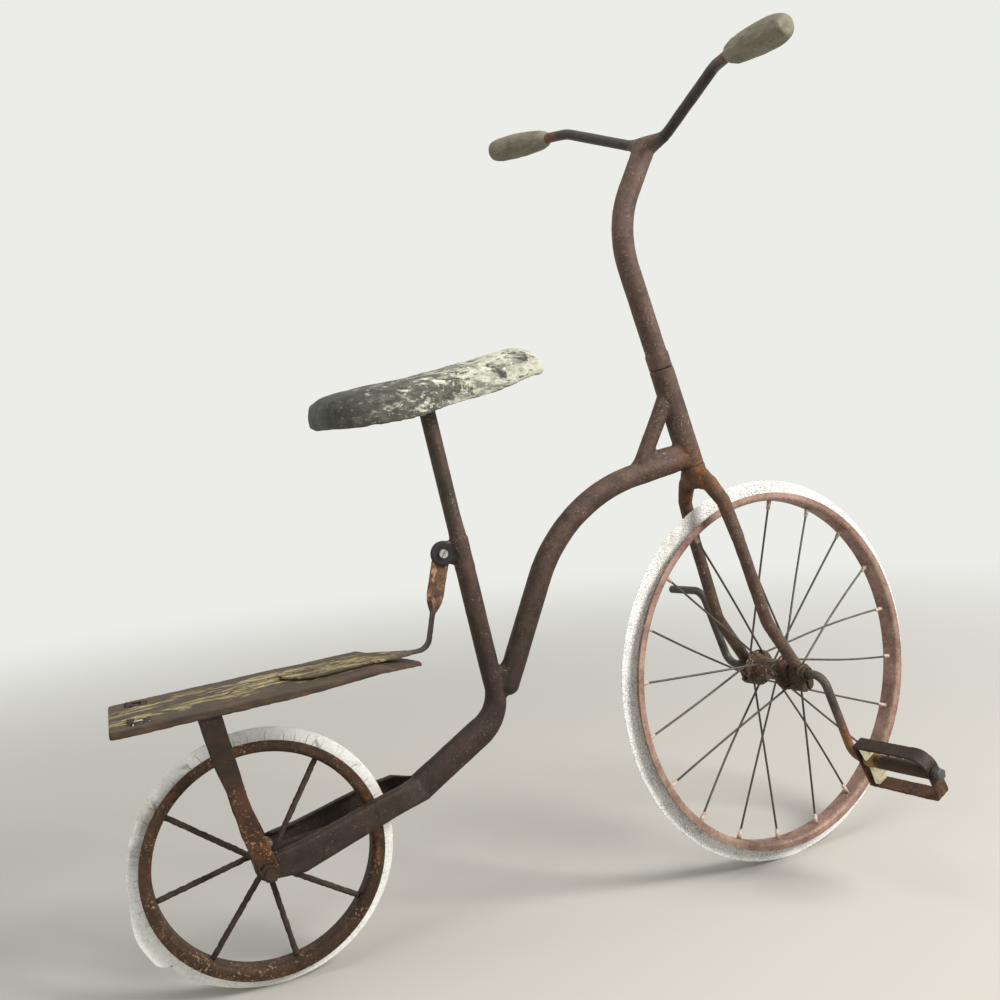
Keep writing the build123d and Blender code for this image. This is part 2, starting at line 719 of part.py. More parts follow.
def channel_face(plane, half_height, depth, corner, back):
    """Half-tube section: rounded on its outer side, flat inside at a depth behind the plane's origin."""
    h, d, c, b = half_height, depth, corner, -back
    k = c * (1 - sqrt(0.5))
    with BuildSketch(plane) as face:
        with BuildLine():
            Line((b, -h), (d - c, -h))
            ThreePointArc((d - c, -h), (d - k, k - h), (d, c - h))
            Line((d, c - h), (d, h - c))
            ThreePointArc((d, h - c), (d - k, h - k), (d - c, h))
            Line((d - c, h), (b, h))
            Line((b, h), (b, -h))
        make_face()
    return face.sketch


def channel_sections(inset):
    """Sections of the left fork blade from the tail tube's end to the axle."""
    half = TAIL_HEIGHT / 2 - inset
    width = TAIL_WIDTH / 2 - inset
    up = Vector(-sin(radians(TAIL_SLOPE)), 0, cos(radians(TAIL_SLOPE)))
    root = Plane(origin=tail_end(), x_dir=(0, 1, 0), z_dir=Vector(0, 1, 0).cross(up))
    back = 2 * inset
    faces = [channel_face(root, half, width, width * 0.92, back)]
    for x, outer, middle, half_height, depth, corner in FORK_STATIONS:
        plane = Plane(origin=(x, outer - depth, middle), x_dir=(0, 1, 0), z_dir=(-1, 0, 0))
        faces.append(channel_face(plane, half_height - inset, depth - inset, corner - inset / 2, back))
    return faces


def rear_fork_blade():
    """Left blade: a pressed channel, open inward, with a round eye at the axle."""
    outer = loft(channel_sections(0), ruled=True)
    inner = loft(channel_sections(FORK_SHEET), ruled=True)
    eye_in = FORK_EYE_Y - FORK_SHEET
    eye = rod((0, eye_in, 0), (0, FORK_EYE_Y, 0), FORK_EYE_R)
    room = rod((0, 0, 0), (0, eye_in, 0), FORK_EYE_R * 1.35)
    bore = rod((0, 0, 0), (0, 2 * FORK_EYE_Y, 0), REAR_AXLE_R)
    return largest(outer - inner - room + eye - bore)


def seat_post():
    """Round post, pushed into the seat tube."""
    return post_room()


def saddle_face(x, half_width, top, low, corner):
    """Section across the saddle: a bridge with round upper corners and a crowned top."""
    w, c = half_width, corner
    crown = corner * 0.2
    k = c * (1 - sqrt(0.5))
    plane = Plane(origin=(x, 0, 0), x_dir=(0, 1, 0), z_dir=(1, 0, 0))
    with BuildSketch(plane) as face:
        with BuildLine():
            Line((-w, low), (-w, top - c))
            ThreePointArc((-w, top - c), (k - w, top - k - crown / 2), (c - w, top - crown))
            ThreePointArc((c - w, top - crown), (0, top), (w - c, top - crown))
            ThreePointArc((w - c, top - crown), (w - k, top - k - crown / 2), (w, top - c))
            Line((w, top - c), (w, low))
            Line((w, low), (-w, low))
        make_face()
    return face.sketch


def saddle_top(x):
    """Height of the saddle's ridge at a place along it."""
    share = (x - SADDLE_REAR_X) / SADDLE_LENGTH
    rear = [one for one in SADDLE_STATIONS if one[0] <= share][-1]
    front = [one for one in SADDLE_STATIONS if one[0] > share][0]
    return rear[2] + (front[2] - rear[2]) * (share - rear[0]) / (front[0] - rear[0])


def saddle_room():
    """The hollow under the saddle's shell, open below."""
    faces = []
    for share, half_width, top, low, corner in SADDLE_STATIONS[1:-1]:
        x = SADDLE_REAR_X + SADDLE_LENGTH * share
        faces.append(
            saddle_face(x, half_width - SADDLE_WALL, top - SADDLE_WALL, low - 2 * SADDLE_WALL, corner * 0.7)
        )
    return loft(faces, ruled=True)


def saddle():
    """Moulded shell, rounded on top and open below."""
    faces = [
        saddle_face(SADDLE_REAR_X + SADDLE_LENGTH * share, *section)
        for share, *section in SADDLE_STATIONS
    ]
    return loft(faces, ruled=True) - saddle_room()


def saddle_pan(shell):
    """Pressed plate under the saddle's top, with the socket that takes the post."""
    top = seat_point(SEAT_POST_TOP_Z)
    outline = Pos(top.X, 0) * RectangleRounded(PAN_LENGTH, PAN_WIDTH, PAN_CORNER_R)
    plan = extrude(Plane.XY * outline, REACH)
    room = saddle_room()
    plate = largest(plan & (room - Pos(0, 0, -PAN_SHEET) * room))
    collar = rod(top - SEAT_AXIS * PAN_SOCKET, top + SEAT_AXIS * PAN_WIDTH, SEAT_POST_R + PAN_SHEET)
    below = room - (room - Pos(0, 0, -PAN_SHEET / 2) * room)
    return largest(plate + (collar & below) - shell - post_room())


# Footboard


def board_height(x):
    """Height of the footboard's top at a place along it."""
    if x < BOARD_CREST_X:
        share = (x - BOARD_REAR_X) / (BOARD_CREST_X - BOARD_REAR_X)
        return BOARD_REAR_Z + (BOARD_CREST_Z - BOARD_REAR_Z) * share
    share = (x - BOARD_CREST_X) / (BOARD_TIP_X - BOARD_CREST_X)
    return BOARD_CREST_Z + (BOARD_TIP_Z - BOARD_CREST_Z) * share


def board_layer(top, low):
    """Everything between two levels measured from the footboard's top."""
    corners = [(x, board_height(x)) for x in (BOARD_REAR_X - SHEET, BOARD_CREST_X, BOARD_TIP_X + SHEET)]
    upper = [(x, z + top) for x, z in corners]
    lower = [(x, z + low) for x, z in reversed(corners)]
    return side_plate([*upper, *lower], 2 * BOARD_HALF_WIDTH)


def board_plan(inset):
    """Plan of the footboard: square rear, pointed front."""
    wide, tip = BOARD_HALF_WIDTH - inset, BOARD_TIP_HALF - inset
    rear, front = BOARD_REAR_X + inset, BOARD_TIP_X - inset
    shape = Polygon(
        (rear, wide), (BOARD_CREST_X, wide), (front, tip), (front, -tip), (BOARD_CREST_X, -wide),
        (rear, -wide), align=None,
    )
    shape = fillet(shape.vertices(), BOARD_CORNER_R - inset if tip > BOARD_CORNER_R else tip * 0.8)
    return extrude(Plane.XY * shape, REACH, both=True)


def footboard():
    """Pressed steel tread with a turned-down lip and two slots at the rear."""
    body = board_plan(0) & board_layer(0, -BOARD_LIP)
    body -= board_plan(SHEET) & board_layer(-SHEET, -2 * BOARD_LIP)
    for y in (-BOARD_SLOT_Y, BOARD_SLOT_Y):
        slot = RectangleRounded(BOARD_SLOT_LENGTH, BOARD_SLOT_WIDTH, BOARD_SLOT_WIDTH / 3)
        body -= Pos(BOARD_SLOT_X, y, 0) * extrude(slot, REACH, both=True)
    return body


def stay_outline(inset):
    """Side outline of a stay, narrower by an inset at both edges."""
    rear = [(x + inset, z) for z, x, _ in STAY_SIDE]
    front = [(x - inset, z) for z, _, x in reversed(STAY_SIDE)]
    return Polygon(*rear, *front, align=None)


def stay_layer(outer, inner):
    """Upright band seen from the front, bent outward above the axle, between two depths."""
    levels = [(STAY_INNER_Y, -STAY_EYE_R), (STAY_INNER_Y, STAY_BEND_Z), (STAY_TOP_Y, STAY_SIDE[-1][0])]
    far = [(y + outer, z) for y, z in levels]
    near = [(y + inner, z) for y, z in reversed(levels)]
    return extrude(Plane.YZ * Polygon(*far, *near, align=None), REACH, both=True)


def stay():
    """Left stay: tapered channel from under the footboard to the rear axle."""
    blank = extrude(Plane.XZ * (stay_outline(0) + Circle(STAY_EYE_R)), REACH, both=True)
    room = extrude(Plane.XZ * stay_outline(STAY_SHEET), REACH, both=True)
    web = blank & stay_layer(STAY_SHEET, 0)
    flanges = (blank & stay_layer(0, STAY_SHEET - STAY_FLANGE)) - room
    eye_room = rod((0, 0, 0), (0, STAY_INNER_Y, 0), 2 * FORK_EYE_R)
    bore = rod((0, 0, 0), (0, REACH, 0), REAR_AXLE_R)
    return largest(web + (flanges - eye_room) - bore - board_layer(BOARD_LIP, -SHEET))


def leaf_line():
    """The leaf's and strap's middle line, from the footboard up to the twist."""
    lift = STRAP_T / 2
    return [
        (LEAF_REAR_X, 0, board_height(LEAF_REAR_X) + lift),
        (BOARD_CREST_X, 0, BOARD_CREST_Z + lift),
        (LEAF_FRONT_X, 0, LEAF_FRONT_Z),
        (STRAP_CORNER_X, 0, STRAP_CORNER_Z),
        (STRAP_TWIST_X, 0, STRAP_TWIST_Z),
    ]


def flat_band(points, bend, width):
    """Sheet bent along a line, lying across the bicycle."""
    path = FilletPolyline(*points, radius=bend)
    along = path % 0
    plane = Plane(origin=path @ 0, x_dir=(0, 1, 0), z_dir=along)
    return sweep(plane * Rectangle(width, STRAP_T), path=path)


def strap(board):
    """Leaf on the footboard, bent up and twisted a quarter turn to lie flat against the lug."""
    line = leaf_line()
    wide = flat_band(line[:3], STRAP_BEND_R, 2 * LEAF_HALF_WIDTH)
    half, neck = LEAF_HALF_WIDTH, STRAP_W / 2
    plan = Polygon(
        (LEAF_REAR_X - SHEET, half * 0.45), (LEAF_REAR_X + half, half), (BOARD_CREST_X, half * 0.8),
        (LEAF_FRONT_X + SHEET, neck), (LEAF_FRONT_X + SHEET, -neck), (BOARD_CREST_X, -half * 0.8),
        (LEAF_REAR_X + half, -half), (LEAF_REAR_X - SHEET, -half * 0.45), align=None,
    )
    leaf = wide & extrude(Plane.XY * fillet(plan.vertices(), neck * 0.8), REACH, both=True)
    climb = flat_band(line[1:], STRAP_BEND_R, STRAP_CLIMB_W)
    twist = Vector(*line[-1])
    top = Vector(LUG_X, 0, LUG_Z)
    rise = (top - twist).normalized()
    sections = []
    for share in (0, 0.34, 0.67, 1):
        along = rise if share else (twist - Vector(*line[-2])).normalized()
        plane = Plane(origin=twist + rise * STRAP_TWIST_RISE * share, x_dir=(0, 1, 0), z_dir=along)
        width = STRAP_CLIMB_W + (STRAP_W - STRAP_CLIMB_W) * share
        sections.append(plane * (Rot(0, 0, 90 * share) * Rectangle(width, STRAP_T)))
    face_end = top + rise * LUG_R * 0.5
    face_start = twist + rise * STRAP_TWIST_RISE
    face = extrude(sections[-1], (face_end - face_start).length)
    twisted = None
    for below, above in zip(sections[:-1], sections[1:]):
        piece = loft([below, above], ruled=True)
        twisted = piece if twisted is None else twisted + piece
    hole = rod((LUG_X, -REACH, LUG_Z), (LUG_X, REACH, LUG_Z), SCREW_R)
    return largest(leaf + climb + twisted + face - board - hole - seat_core())


def strap_lug():
    """Round-ended ear on the back of the seat tube, on the right of the strap."""
    tube = seat_point(LUG_Z)
    outline = Pos(LUG_X, LUG_Z) * Circle(LUG_R)
    outline += Polygon(
        (LUG_X, LUG_Z + LUG_R), (tube.X, LUG_Z + LUG_R), (tube.X, LUG_Z - LUG_R), (LUG_X, LUG_Z - LUG_R),
        align=None,
    )
    ear = Pos(0, -STRAP_T / 2, 0) * extrude(Plane.XZ * outline, LUG_T)
    hole = rod((LUG_X, -REACH, LUG_Z), (LUG_X, REACH, LUG_Z), SCREW_R)
    return largest(ear - seat_core() - post_room() - hole)


def strap_screw():
    """Slotted screw through the lug and the strap, with a nut behind."""
    face = -STRAP_T / 2 - LUG_T
    back = STRAP_T / 2
    head = rod((LUG_X, face - SCREW_HEAD_T, LUG_Z), (LUG_X, face, LUG_Z), SCREW_HEAD_R)
    head -= Pos(LUG_X, face - SCREW_HEAD_T, LUG_Z) * (
        Rot(0, 35, 0) * Box(SCREW_HEAD_R / 4, SCREW_HEAD_T, 3 * SCREW_HEAD_R)
    )
    shank = rod((LUG_X, face, LUG_Z), (LUG_X, back + SCREW_NUT_T, LUG_Z), SCREW_R)
    plane = Plane(origin=(LUG_X, back, LUG_Z), x_dir=(1, 0, 0), z_dir=(0, 1, 0))
    nut = extrude(plane * RegularPolygon(SCREW_HEAD_R * 0.8, 6, major_radius=False), SCREW_NUT_T * 0.8)
    return head + shank + nut


def rear_axle():
    """Fixed axle with shoulders inside the blades."""
    half = NUT_Y + AXLE_NUT_T + AXLE_THREAD_SHOWS
    bar = rod((0, -half, 0), (0, half, 0), REAR_AXLE_R)
    for side in (-1, 1):
        start = side * (REAR_HUB_HALF + REAR_END_PLAY)
        bar += rod((0, start, 0), (0, side * (FORK_EYE_Y - FORK_SHEET), 0), REAR_SHOULDER_R)
    return bar


def axle_nuts():
    """Hexagon nuts outside the stays."""
    nuts = []
    for side in (-1, 1):
        plane = Plane(origin=(0, side * NUT_Y, 0), x_dir=(1, 0, 0), z_dir=(0, side, 0))
        hexagon = RegularPolygon(AXLE_NUT_FLATS / 2, 6, major_radius=False) - Circle(REAR_AXLE_R)
        nuts.append(extrude(plane * hexagon, AXLE_NUT_T))
    return Compound(children=[n for one in nuts for n in one.solids()])


def build():
    """All pieces by node name, in the drawing's own place."""
    parts = {}

    rear_rim = rim(REAR_RADIUS, REAR_TYRE_SHOWS)
    hub = rear_hub()
    parts["rear_tyre"] = tyre(REAR_RADIUS)
    parts["rear_rim"] = rear_rim
    parts["rear_hub"] = hub
    parts["rear_spokes"] = rear_spokes(rear_rim, hub)

    at_axle = Pos(*FRONT_AXLE)
    front_rim = rim(FRONT_RADIUS, FRONT_TYRE_SHOWS)
    driven_hub = front_hub()
    parts["front_tyre"] = on_steering(at_axle * tyre(FRONT_RADIUS))
    parts["front_rim"] = on_steering(at_axle * front_rim)
    parts["front_hub"] = on_steering(at_axle * driven_hub)
    parts["front_spokes"] = on_steering(at_axle * front_spokes(front_rim, driven_hub))
    parts["crank_axle"] = on_steering(crank_axle())
    parts["pedal_frame"] = on_steering(pedal_frame())
    parts["pedal_plate"] = on_steering(pedal_plate())
    parts["pedal_remnants"] = on_steering(pedal_remnants())
    parts["pedal_nut"] = on_steering(pedal_nut())

    bar = handlebar()
    parts["handlebar"] = on_steering(bar)
    parts["stem"] = on_steering(stem(bar))
    parts["steerer"] = on_steering(steerer())
    crown = fork_crown()
    parts["fork_crown"] = on_steering(crown)
    for name, side in (("right", -1), ("left", 1)):
        block = bearing_block(side)
        parts["bearing_block_" + name] = on_steering(block)
        parts["fork_blade_" + name] = on_steering(fork_blade(side, crown, block))
        parts["grip_" + name] = on_steering(grip(side, bar))

    seat = seat_tube()
    board = footboard()
    parts["head_tube"] = head_tube()
    parts["main_tube"] = main_tube(seat)
    parts["head_brace"] = head_brace()
    parts["seat_tube"] = seat
    parts["joint_web"] = joint_web(seat)
    blade = rear_fork_blade()
    parts["rear_fork_blade_left"] = blade
    parts["rear_fork_blade_right"] = mirrored(blade)
    parts["rear_axle"] = rear_axle()
    parts["rear_axle_nuts"] = axle_nuts()
    parts["footboard"] = board
    left_stay = stay()
    parts["footboard_stay_left"] = left_stay
    parts["footboard_stay_right"] = mirrored(left_stay)
    parts["strap"] = strap(board)
    parts["strap_lug"] = strap_lug()
    parts["strap_screw"] = strap_screw()
    parts["seat_post"] = seat_post()
    shell = saddle()
    parts["saddle"] = shell
    parts["saddle_pan"] = saddle_pan(shell)
    return parts


if __name__ == "__main__":
    os.makedirs("parts", exist_ok=True)
    to_seat = Pos(-SEAT_X, 0, -saddle_top(SEAT_X))
    for name, solid in build().items():
        export_step(to_seat * solid, "parts/" + name + ".step")
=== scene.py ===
# %% [markdown]
# # A weathered child's velocipede
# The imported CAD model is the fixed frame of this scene. The lesson dresses it: tubes are melted together
# as brazed joints are, rubber cracks, paint flakes, steel rusts. Every piece sits in the row frame, in
# metres, with the saddle's top at the origin, +X forward and +Z up.

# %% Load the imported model
import json
import math
import random

import bmesh
import bpy
from mathutils import Matrix, Vector, noise


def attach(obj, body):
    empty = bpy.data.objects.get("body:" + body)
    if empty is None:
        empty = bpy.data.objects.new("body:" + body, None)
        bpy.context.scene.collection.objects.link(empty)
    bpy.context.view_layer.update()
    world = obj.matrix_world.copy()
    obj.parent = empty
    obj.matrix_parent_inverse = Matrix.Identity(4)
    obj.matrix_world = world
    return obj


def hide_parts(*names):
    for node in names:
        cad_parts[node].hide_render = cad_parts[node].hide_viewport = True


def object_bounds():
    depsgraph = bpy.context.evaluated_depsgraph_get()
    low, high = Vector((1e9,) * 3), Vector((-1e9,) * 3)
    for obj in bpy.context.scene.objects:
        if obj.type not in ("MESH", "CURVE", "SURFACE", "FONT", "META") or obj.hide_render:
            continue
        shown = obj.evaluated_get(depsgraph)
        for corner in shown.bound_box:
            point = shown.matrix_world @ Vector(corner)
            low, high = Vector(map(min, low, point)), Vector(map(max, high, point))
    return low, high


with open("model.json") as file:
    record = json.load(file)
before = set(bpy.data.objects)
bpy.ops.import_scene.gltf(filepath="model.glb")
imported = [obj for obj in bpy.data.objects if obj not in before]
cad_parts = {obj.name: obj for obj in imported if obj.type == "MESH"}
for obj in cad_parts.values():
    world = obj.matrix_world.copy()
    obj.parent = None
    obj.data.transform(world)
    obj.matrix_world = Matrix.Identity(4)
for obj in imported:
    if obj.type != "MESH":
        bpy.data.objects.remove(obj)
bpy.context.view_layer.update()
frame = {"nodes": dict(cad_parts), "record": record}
joints = {joint["name"]: joint for joint in frame["record"]["behaviour"]["joints"]}

# %% [markdown]
# ## Camera
# The camera was solved from the photograph: where the two wheels' ellipses lie, and how far the ends of
# the handlebar and of the cranks are apart. It could be set by eye, but the wheels' ellipses give away
# small errors. Its three axes are rows of a rotation: to the right, down and ahead. Blender's camera looks
# along its own -Z with +Y up, so two of them change sign.

# %% Camera
LENS_MM = 40.33
SENSOR_MM = 36.0
camera_place = Vector((-0.2560, -1.0076, -0.0352))
look_right = Vector((0.93743, -0.33545, -0.09325))
look_down = Vector((-0.11490, -0.04525, -0.99235))
look_ahead = Vector((0.32866, 0.94097, -0.08096))
camera_data = bpy.data.cameras.new("camera")
camera_data.lens = LENS_MM
camera_data.sensor_width = SENSOR_MM
camera_data.clip_start = 0.05
camera = bpy.data.objects.new("camera", camera_data)
bpy.context.collection.objects.link(camera)
facing = Matrix((look_right, -look_down, -look_ahead)).transposed()
camera.matrix_world = Matrix.Translation(camera_place) @ facing.to_4x4()
bpy.context.scene.camera = camera
print("camera at", [round(v, 3) for v in camera_place])

# %% [markdown]
# ## Small helpers for nodes
# Colours are written as they look on a screen, 0 to 255, and turned into the linear values that shader
# sockets take. The other helpers add one node each, so that a material reads as a short list of steps.
# Nodes could be placed by hand in the editor too, but a script can be read, changed and run again.

# %% Colours, links and nodes
Socket = bpy.types.NodeSocket


def linear(red, green, blue):
    """A screen colour as linear red, green, blue and alpha."""
    shares = [value / 255 for value in (red, green, blue)]
    return [s / 12.92 if s <= 0.04045 else ((s + 0.055) / 1.055) ** 2.4 for s in shares] + [1.0]


def put(tree, value, socket):
    """Links a socket to another, or sets its own value."""
    if isinstance(value, Socket):
        tree.links.new(value, socket)
    else:
        socket.default_value = value


def add(tree, kind, settings=None, **inputs):
    """A node with its settings and inputs; an underscore in an input's name stands for a space."""
    made = tree.nodes.new(kind)
    for name, value in (settings or {}).items():
        setattr(made, name, value)
    for name, value in inputs.items():
        put(tree, value, made.inputs[name.replace("_", " ")])
    return made


print("white paper is", [round(v, 3) for v in linear(235, 235, 230)])


# %% Noise, steps and sums
def grain(tree, vector, scale, detail=6.0, roughness=0.6, distortion=0.0):
    """Noise from 0 to 1, mostly near a half."""
    made = add(
        tree, "ShaderNodeTexNoise", Vector=vector, Scale=scale, Detail=detail, Roughness=roughness,
        Distortion=distortion,
    )
    return made.outputs["Fac"]


def between(tree, value, low, high, start=0.0, end=1.0):
    """Smooth step of a value from low to high."""
    made = add(
        tree, "ShaderNodeMapRange", {"interpolation_type": "SMOOTHSTEP"}, Value=value,
        From_Min=low, From_Max=high, To_Min=start, To_Max=end,
    )
    return made.outputs["Result"]


def calc(tree, operation, first, second=0.0, third=0.0):
    """One sum on values."""
    made = add(tree, "ShaderNodeMath", {"operation": operation})
    for value, socket in zip((first, second, third), made.inputs):
        put(tree, value, socket)
    return made.outputs[0]


def times(tree, first, second):
    """The product of two values, such as masks that both have to hold."""
    return calc(tree, "MULTIPLY", first, second)


def tint(tree, share, low, high):
    """Mixes two colours by a share."""
    made = add(tree, "ShaderNodeMix", {"data_type": "RGBA"})
    for value, socket in ((share, made.inputs[0]), (low, made.inputs[6]), (high, made.inputs[7])):
        put(tree, value, socket)
    return made.outputs[2]


print("helpers: grain, between, calc, times, tint")

# %% Vectors and groups
X, Y, Z = 0, 1, 2


def on_vectors(tree, operation, first, second=(0.0, 0.0, 0.0)):
    """One sum on vectors; dot products, distances and lengths come out as values."""
    made = add(tree, "ShaderNodeVectorMath", {"operation": operation})
    put(tree, first, made.inputs[0])
    put(tree, second, made.inputs[1])
    return made.outputs["Value" if operation in ("DOT_PRODUCT", "DISTANCE", "LENGTH") else "Vector"]


def part_of(tree, vector, direction):
    """A vector's part along X, Y or Z, counted from 0."""
    return add(tree, "ShaderNodeSeparateXYZ", Vector=vector).outputs[direction]


def frayed(tree, value, vector, scale, width, detail=6.0, roughness=0.7):
    """A value with noise on it, so that a mask cut from it gets a ragged edge."""
    fray = grain(tree, vector, scale, detail, roughness)
    return calc(tree, "ADD", value, calc(tree, "MULTIPLY_ADD", fray, width, -width / 2))


def new_group(name, inputs, outputs):
    """A node group: its tree, what it is given and what it results in, both by name."""
    tree = bpy.data.node_groups.new(name, "ShaderNodeTree")
    for in_out, sockets in (("INPUT", inputs), ("OUTPUT", outputs)):
        for label, kind in sockets:
            tree.interface.new_socket(name=label, in_out=in_out, socket_type="NodeSocket" + kind)
    return tree, tree.nodes.new("NodeGroupInput").outputs, tree.nodes.new("NodeGroupOutput").inputs


def use(tree, group, **inputs):
    """Places a node group in a material or in another group."""
    return add(tree, "ShaderNodeGroup", {"node_tree": group}, **inputs)


print("helpers: on_vectors, part_of, frayed, new_group, use")

# %% [markdown]
# ## Rust patina
# Old enamel that has rusted through is never one brown. Broad clouds run from a deep to a main tone,
# orange breaks out in patches, pits darken and roughen the surface, and pale specks are all that is left
# of the paint. A painted image could hold this, but noise stays sharp however near one looks, and has no
# seams on a bent tube. One node group holds the four layers, and each material gives it its own tones.

# %% Rust patina group
patina, given, result = new_group(
    "rust_patina",
    [("Vector", "Vector"), ("Deep", "Color"), ("Main", "Color"), ("Rust", "Color"), ("Speck", "Color"),
     ("Rust Amount", "Float"), ("Speck Amount", "Float"), ("Roughness", "Float")],
    [("Color", "Color"), ("Roughness", "Float"), ("Height", "Float")],
)
place = given["Vector"]
clouds = between(patina, grain(patina, place, 60.0, 12.0, 0.78, 0.4), 0.30, 0.66)
colour = tint(patina, clouds, given["Deep"], given["Main"])
rust_edge = calc(patina, "MULTIPLY_ADD", given["Rust Amount"], -0.40, 0.70)
rust_noise = grain(patina, place, 84.0, 12.0, 0.76, 0.5)
rust_mask = between(patina, calc(patina, "SUBTRACT", rust_noise, rust_edge), -0.05, 0.08)
colour = tint(patina, rust_mask, colour, given["Rust"])
pit_noise = grain(patina, place, 520.0, 6.0, 0.72)
pits = between(patina, pit_noise, 0.54, 0.68)
fine = grain(patina, place, 1500.0, 3.0, 0.6)
colour = tint(patina, times(patina, pits, 0.5), colour, (0.012, 0.008, 0.006, 1.0))
worn = between(patina, grain(patina, place, 70.0, 6.0, 0.7), 0.44, 0.66)
speck_noise = grain(patina, place, 640.0, 4.0, 0.66, 0.3)
speck_noise = calc(patina, "MULTIPLY_ADD", given["Speck Amount"], 0.07, speck_noise)
specks = times(patina, between(patina, speck_noise, 0.625, 0.685), worn)
speck_share = between(patina, given["Speck Amount"], 0.0, 0.8)
speck_mask = times(patina, specks, speck_share)
colour = tint(patina, speck_mask, colour, given["Speck"])
light_and_dark = between(patina, grain(patina, place, 14.0, 3.0), 0.3, 0.7, 0.92, 1.07)
brightness = add(patina, "ShaderNodeHueSaturation", Value=light_and_dark, Color=colour)
patina.links.new(brightness.outputs["Color"], result["Color"])
rough = calc(patina, "MULTIPLY_ADD", fine, 0.22, given["Roughness"])
rough = calc(patina, "MULTIPLY_ADD", rust_mask, 0.14, rough)
patina.links.new(calc(patina, "SUBTRACT", rough, 0.10), result["Roughness"])
relief = calc(patina, "MULTIPLY_ADD", rust_mask, 0.5, times(patina, pits, -0.7))
relief = calc(patina, "MULTIPLY_ADD", fine, 0.35, relief)
relief = calc(patina, "MULTIPLY_ADD", pit_noise, 0.8, relief)
relief = calc(patina, "MULTIPLY_ADD", speck_mask, 0.3, relief)
patina.links.new(relief, result["Height"])
print("group", patina.name, "has", len(patina.nodes), "nodes")

# %% [markdown]
# ## Flaking paint
# Paint that lets go leaves islands with hard edges over a darker ground. The islands could be modelled as
# thin plates, which is far too many pieces here. Instead a noise with a lot of detail is cut at a level,
# which gives the islands; the thin band round the cut is a shadow where the edge curls.

# %% Flaking paint group
flaking, given, result = new_group(
    "flaking_paint",
    [("Vector", "Vector"), ("Ground", "Color"), ("Ground Deep", "Color"), ("Paint", "Color"),
     ("Paint Shade", "Color"), ("Coverage", "Float"), ("Size", "Float"), ("Softness", "Float")],
    [("Color", "Color"), ("Roughness", "Float"), ("Height", "Float")],
)
place = given["Vector"]
islands = grain(flaking, place, given["Size"], 12.0, 0.72, 0.6)
level = calc(flaking, "MULTIPLY_ADD", given["Coverage"], -0.40, 0.70)
over = calc(flaking, "SUBTRACT", islands, level)
paint_mask = between(flaking, over, times(flaking, given["Softness"], -1.0), given["Softness"])
edge_band = times(flaking, between(flaking, over, -0.030, -0.004), between(flaking, over, 0.016, -0.004))
ground = tint(flaking, between(flaking, grain(flaking, place, 160.0, 8.0, 0.7), 0.36, 0.64),
              given["Ground Deep"], given["Ground"])
paint = tint(flaking, between(flaking, grain(flaking, place, 90.0, 10.0, 0.75, 0.8), 0.40, 0.66),
             given["Paint"], given["Paint Shade"])
colour = tint(flaking, paint_mask, ground, paint)
colour = tint(flaking, times(flaking, edge_band, 0.55), colour, given["Ground Deep"])
flaking.links.new(colour, result["Color"])
fine = grain(flaking, place, 900.0, 4.0, 0.7)
rough = calc(flaking, "MULTIPLY_ADD", fine, 0.20, 0.62)
flaking.links.new(calc(flaking, "MULTIPLY_ADD", paint_mask, -0.06, rough), result["Roughness"])
relief = calc(flaking, "MULTIPLY_ADD", fine, 0.35, paint_mask)
flaking.links.new(relief, result["Height"])
print("group", flaking.name, "has", len(flaking.nodes), "nodes")

# %% [markdown]
# ## Coordinates that follow a wheel
# Cracks in a tyre run round it or across it, so its pattern needs the distance round the wheel, across it
# and out from its axle. A UV map could hold them, but each tyre would need one of its own. A group works
# them out from Object coordinates, the wheel's centre and its axis.

# %% Wheel coordinates group
round_wheel, given, result = new_group(
    "wheel_coordinates",
    [("Vector", "Vector"), ("Centre", "Vector"), ("Axis", "Vector"), ("Ahead", "Vector"), ("Up", "Vector"),
     ("Radius", "Float")],
    [("Vector", "Vector"), ("Angle", "Float"), ("Across", "Float"), ("Out", "Float")],
)
offset = on_vectors(round_wheel, "SUBTRACT", given["Vector"], given["Centre"])
ahead, up, across = (
    on_vectors(round_wheel, "DOT_PRODUCT", offset, given[name]) for name in ("Ahead", "Up", "Axis")
)
angle = calc(round_wheel, "ARCTAN2", up, ahead)
squares = calc(round_wheel, "MULTIPLY_ADD", up, up, times(round_wheel, ahead, ahead))
out = calc(round_wheel, "SQRT", squares)
way_round = times(round_wheel, angle, given["Radius"])
joined = add(round_wheel, "ShaderNodeCombineXYZ", X=way_round, Y=across, Z=out)
for value, name in ((joined.outputs[0], "Vector"), (angle, "Angle"), (across, "Across"), (out, "Out")):
    round_wheel.links.new(value, result[name])
print("group", round_wheel.name, "has", len(round_wheel.nodes), "nodes")

# %% [markdown]
# ## Near a place
# Some finishes change along one piece: orange at a weld, grey further out. Cutting the mesh into zones
# would leave straight borders, so this mask is one at a point and fades with distance from it, with a
# ragged edge from noise.

# %% Mask near a place
near_place, given, result = new_group(
    "near_place",
    [("Vector", "Vector"), ("Centre", "Vector"), ("Inner", "Float"), ("Outer", "Float")],
    [("Mask", "Float")],
)
apart = on_vectors(near_place, "DISTANCE", given["Vector"], given["Centre"])
reach = frayed(near_place, apart, given["Vector"], 70.0, 0.03, roughness=0.6)
near_place.links.new(between(near_place, reach, given["Outer"], given["Inner"]), result["Mask"])
print("group", near_place.name, "has", len(near_place.nodes), "nodes")
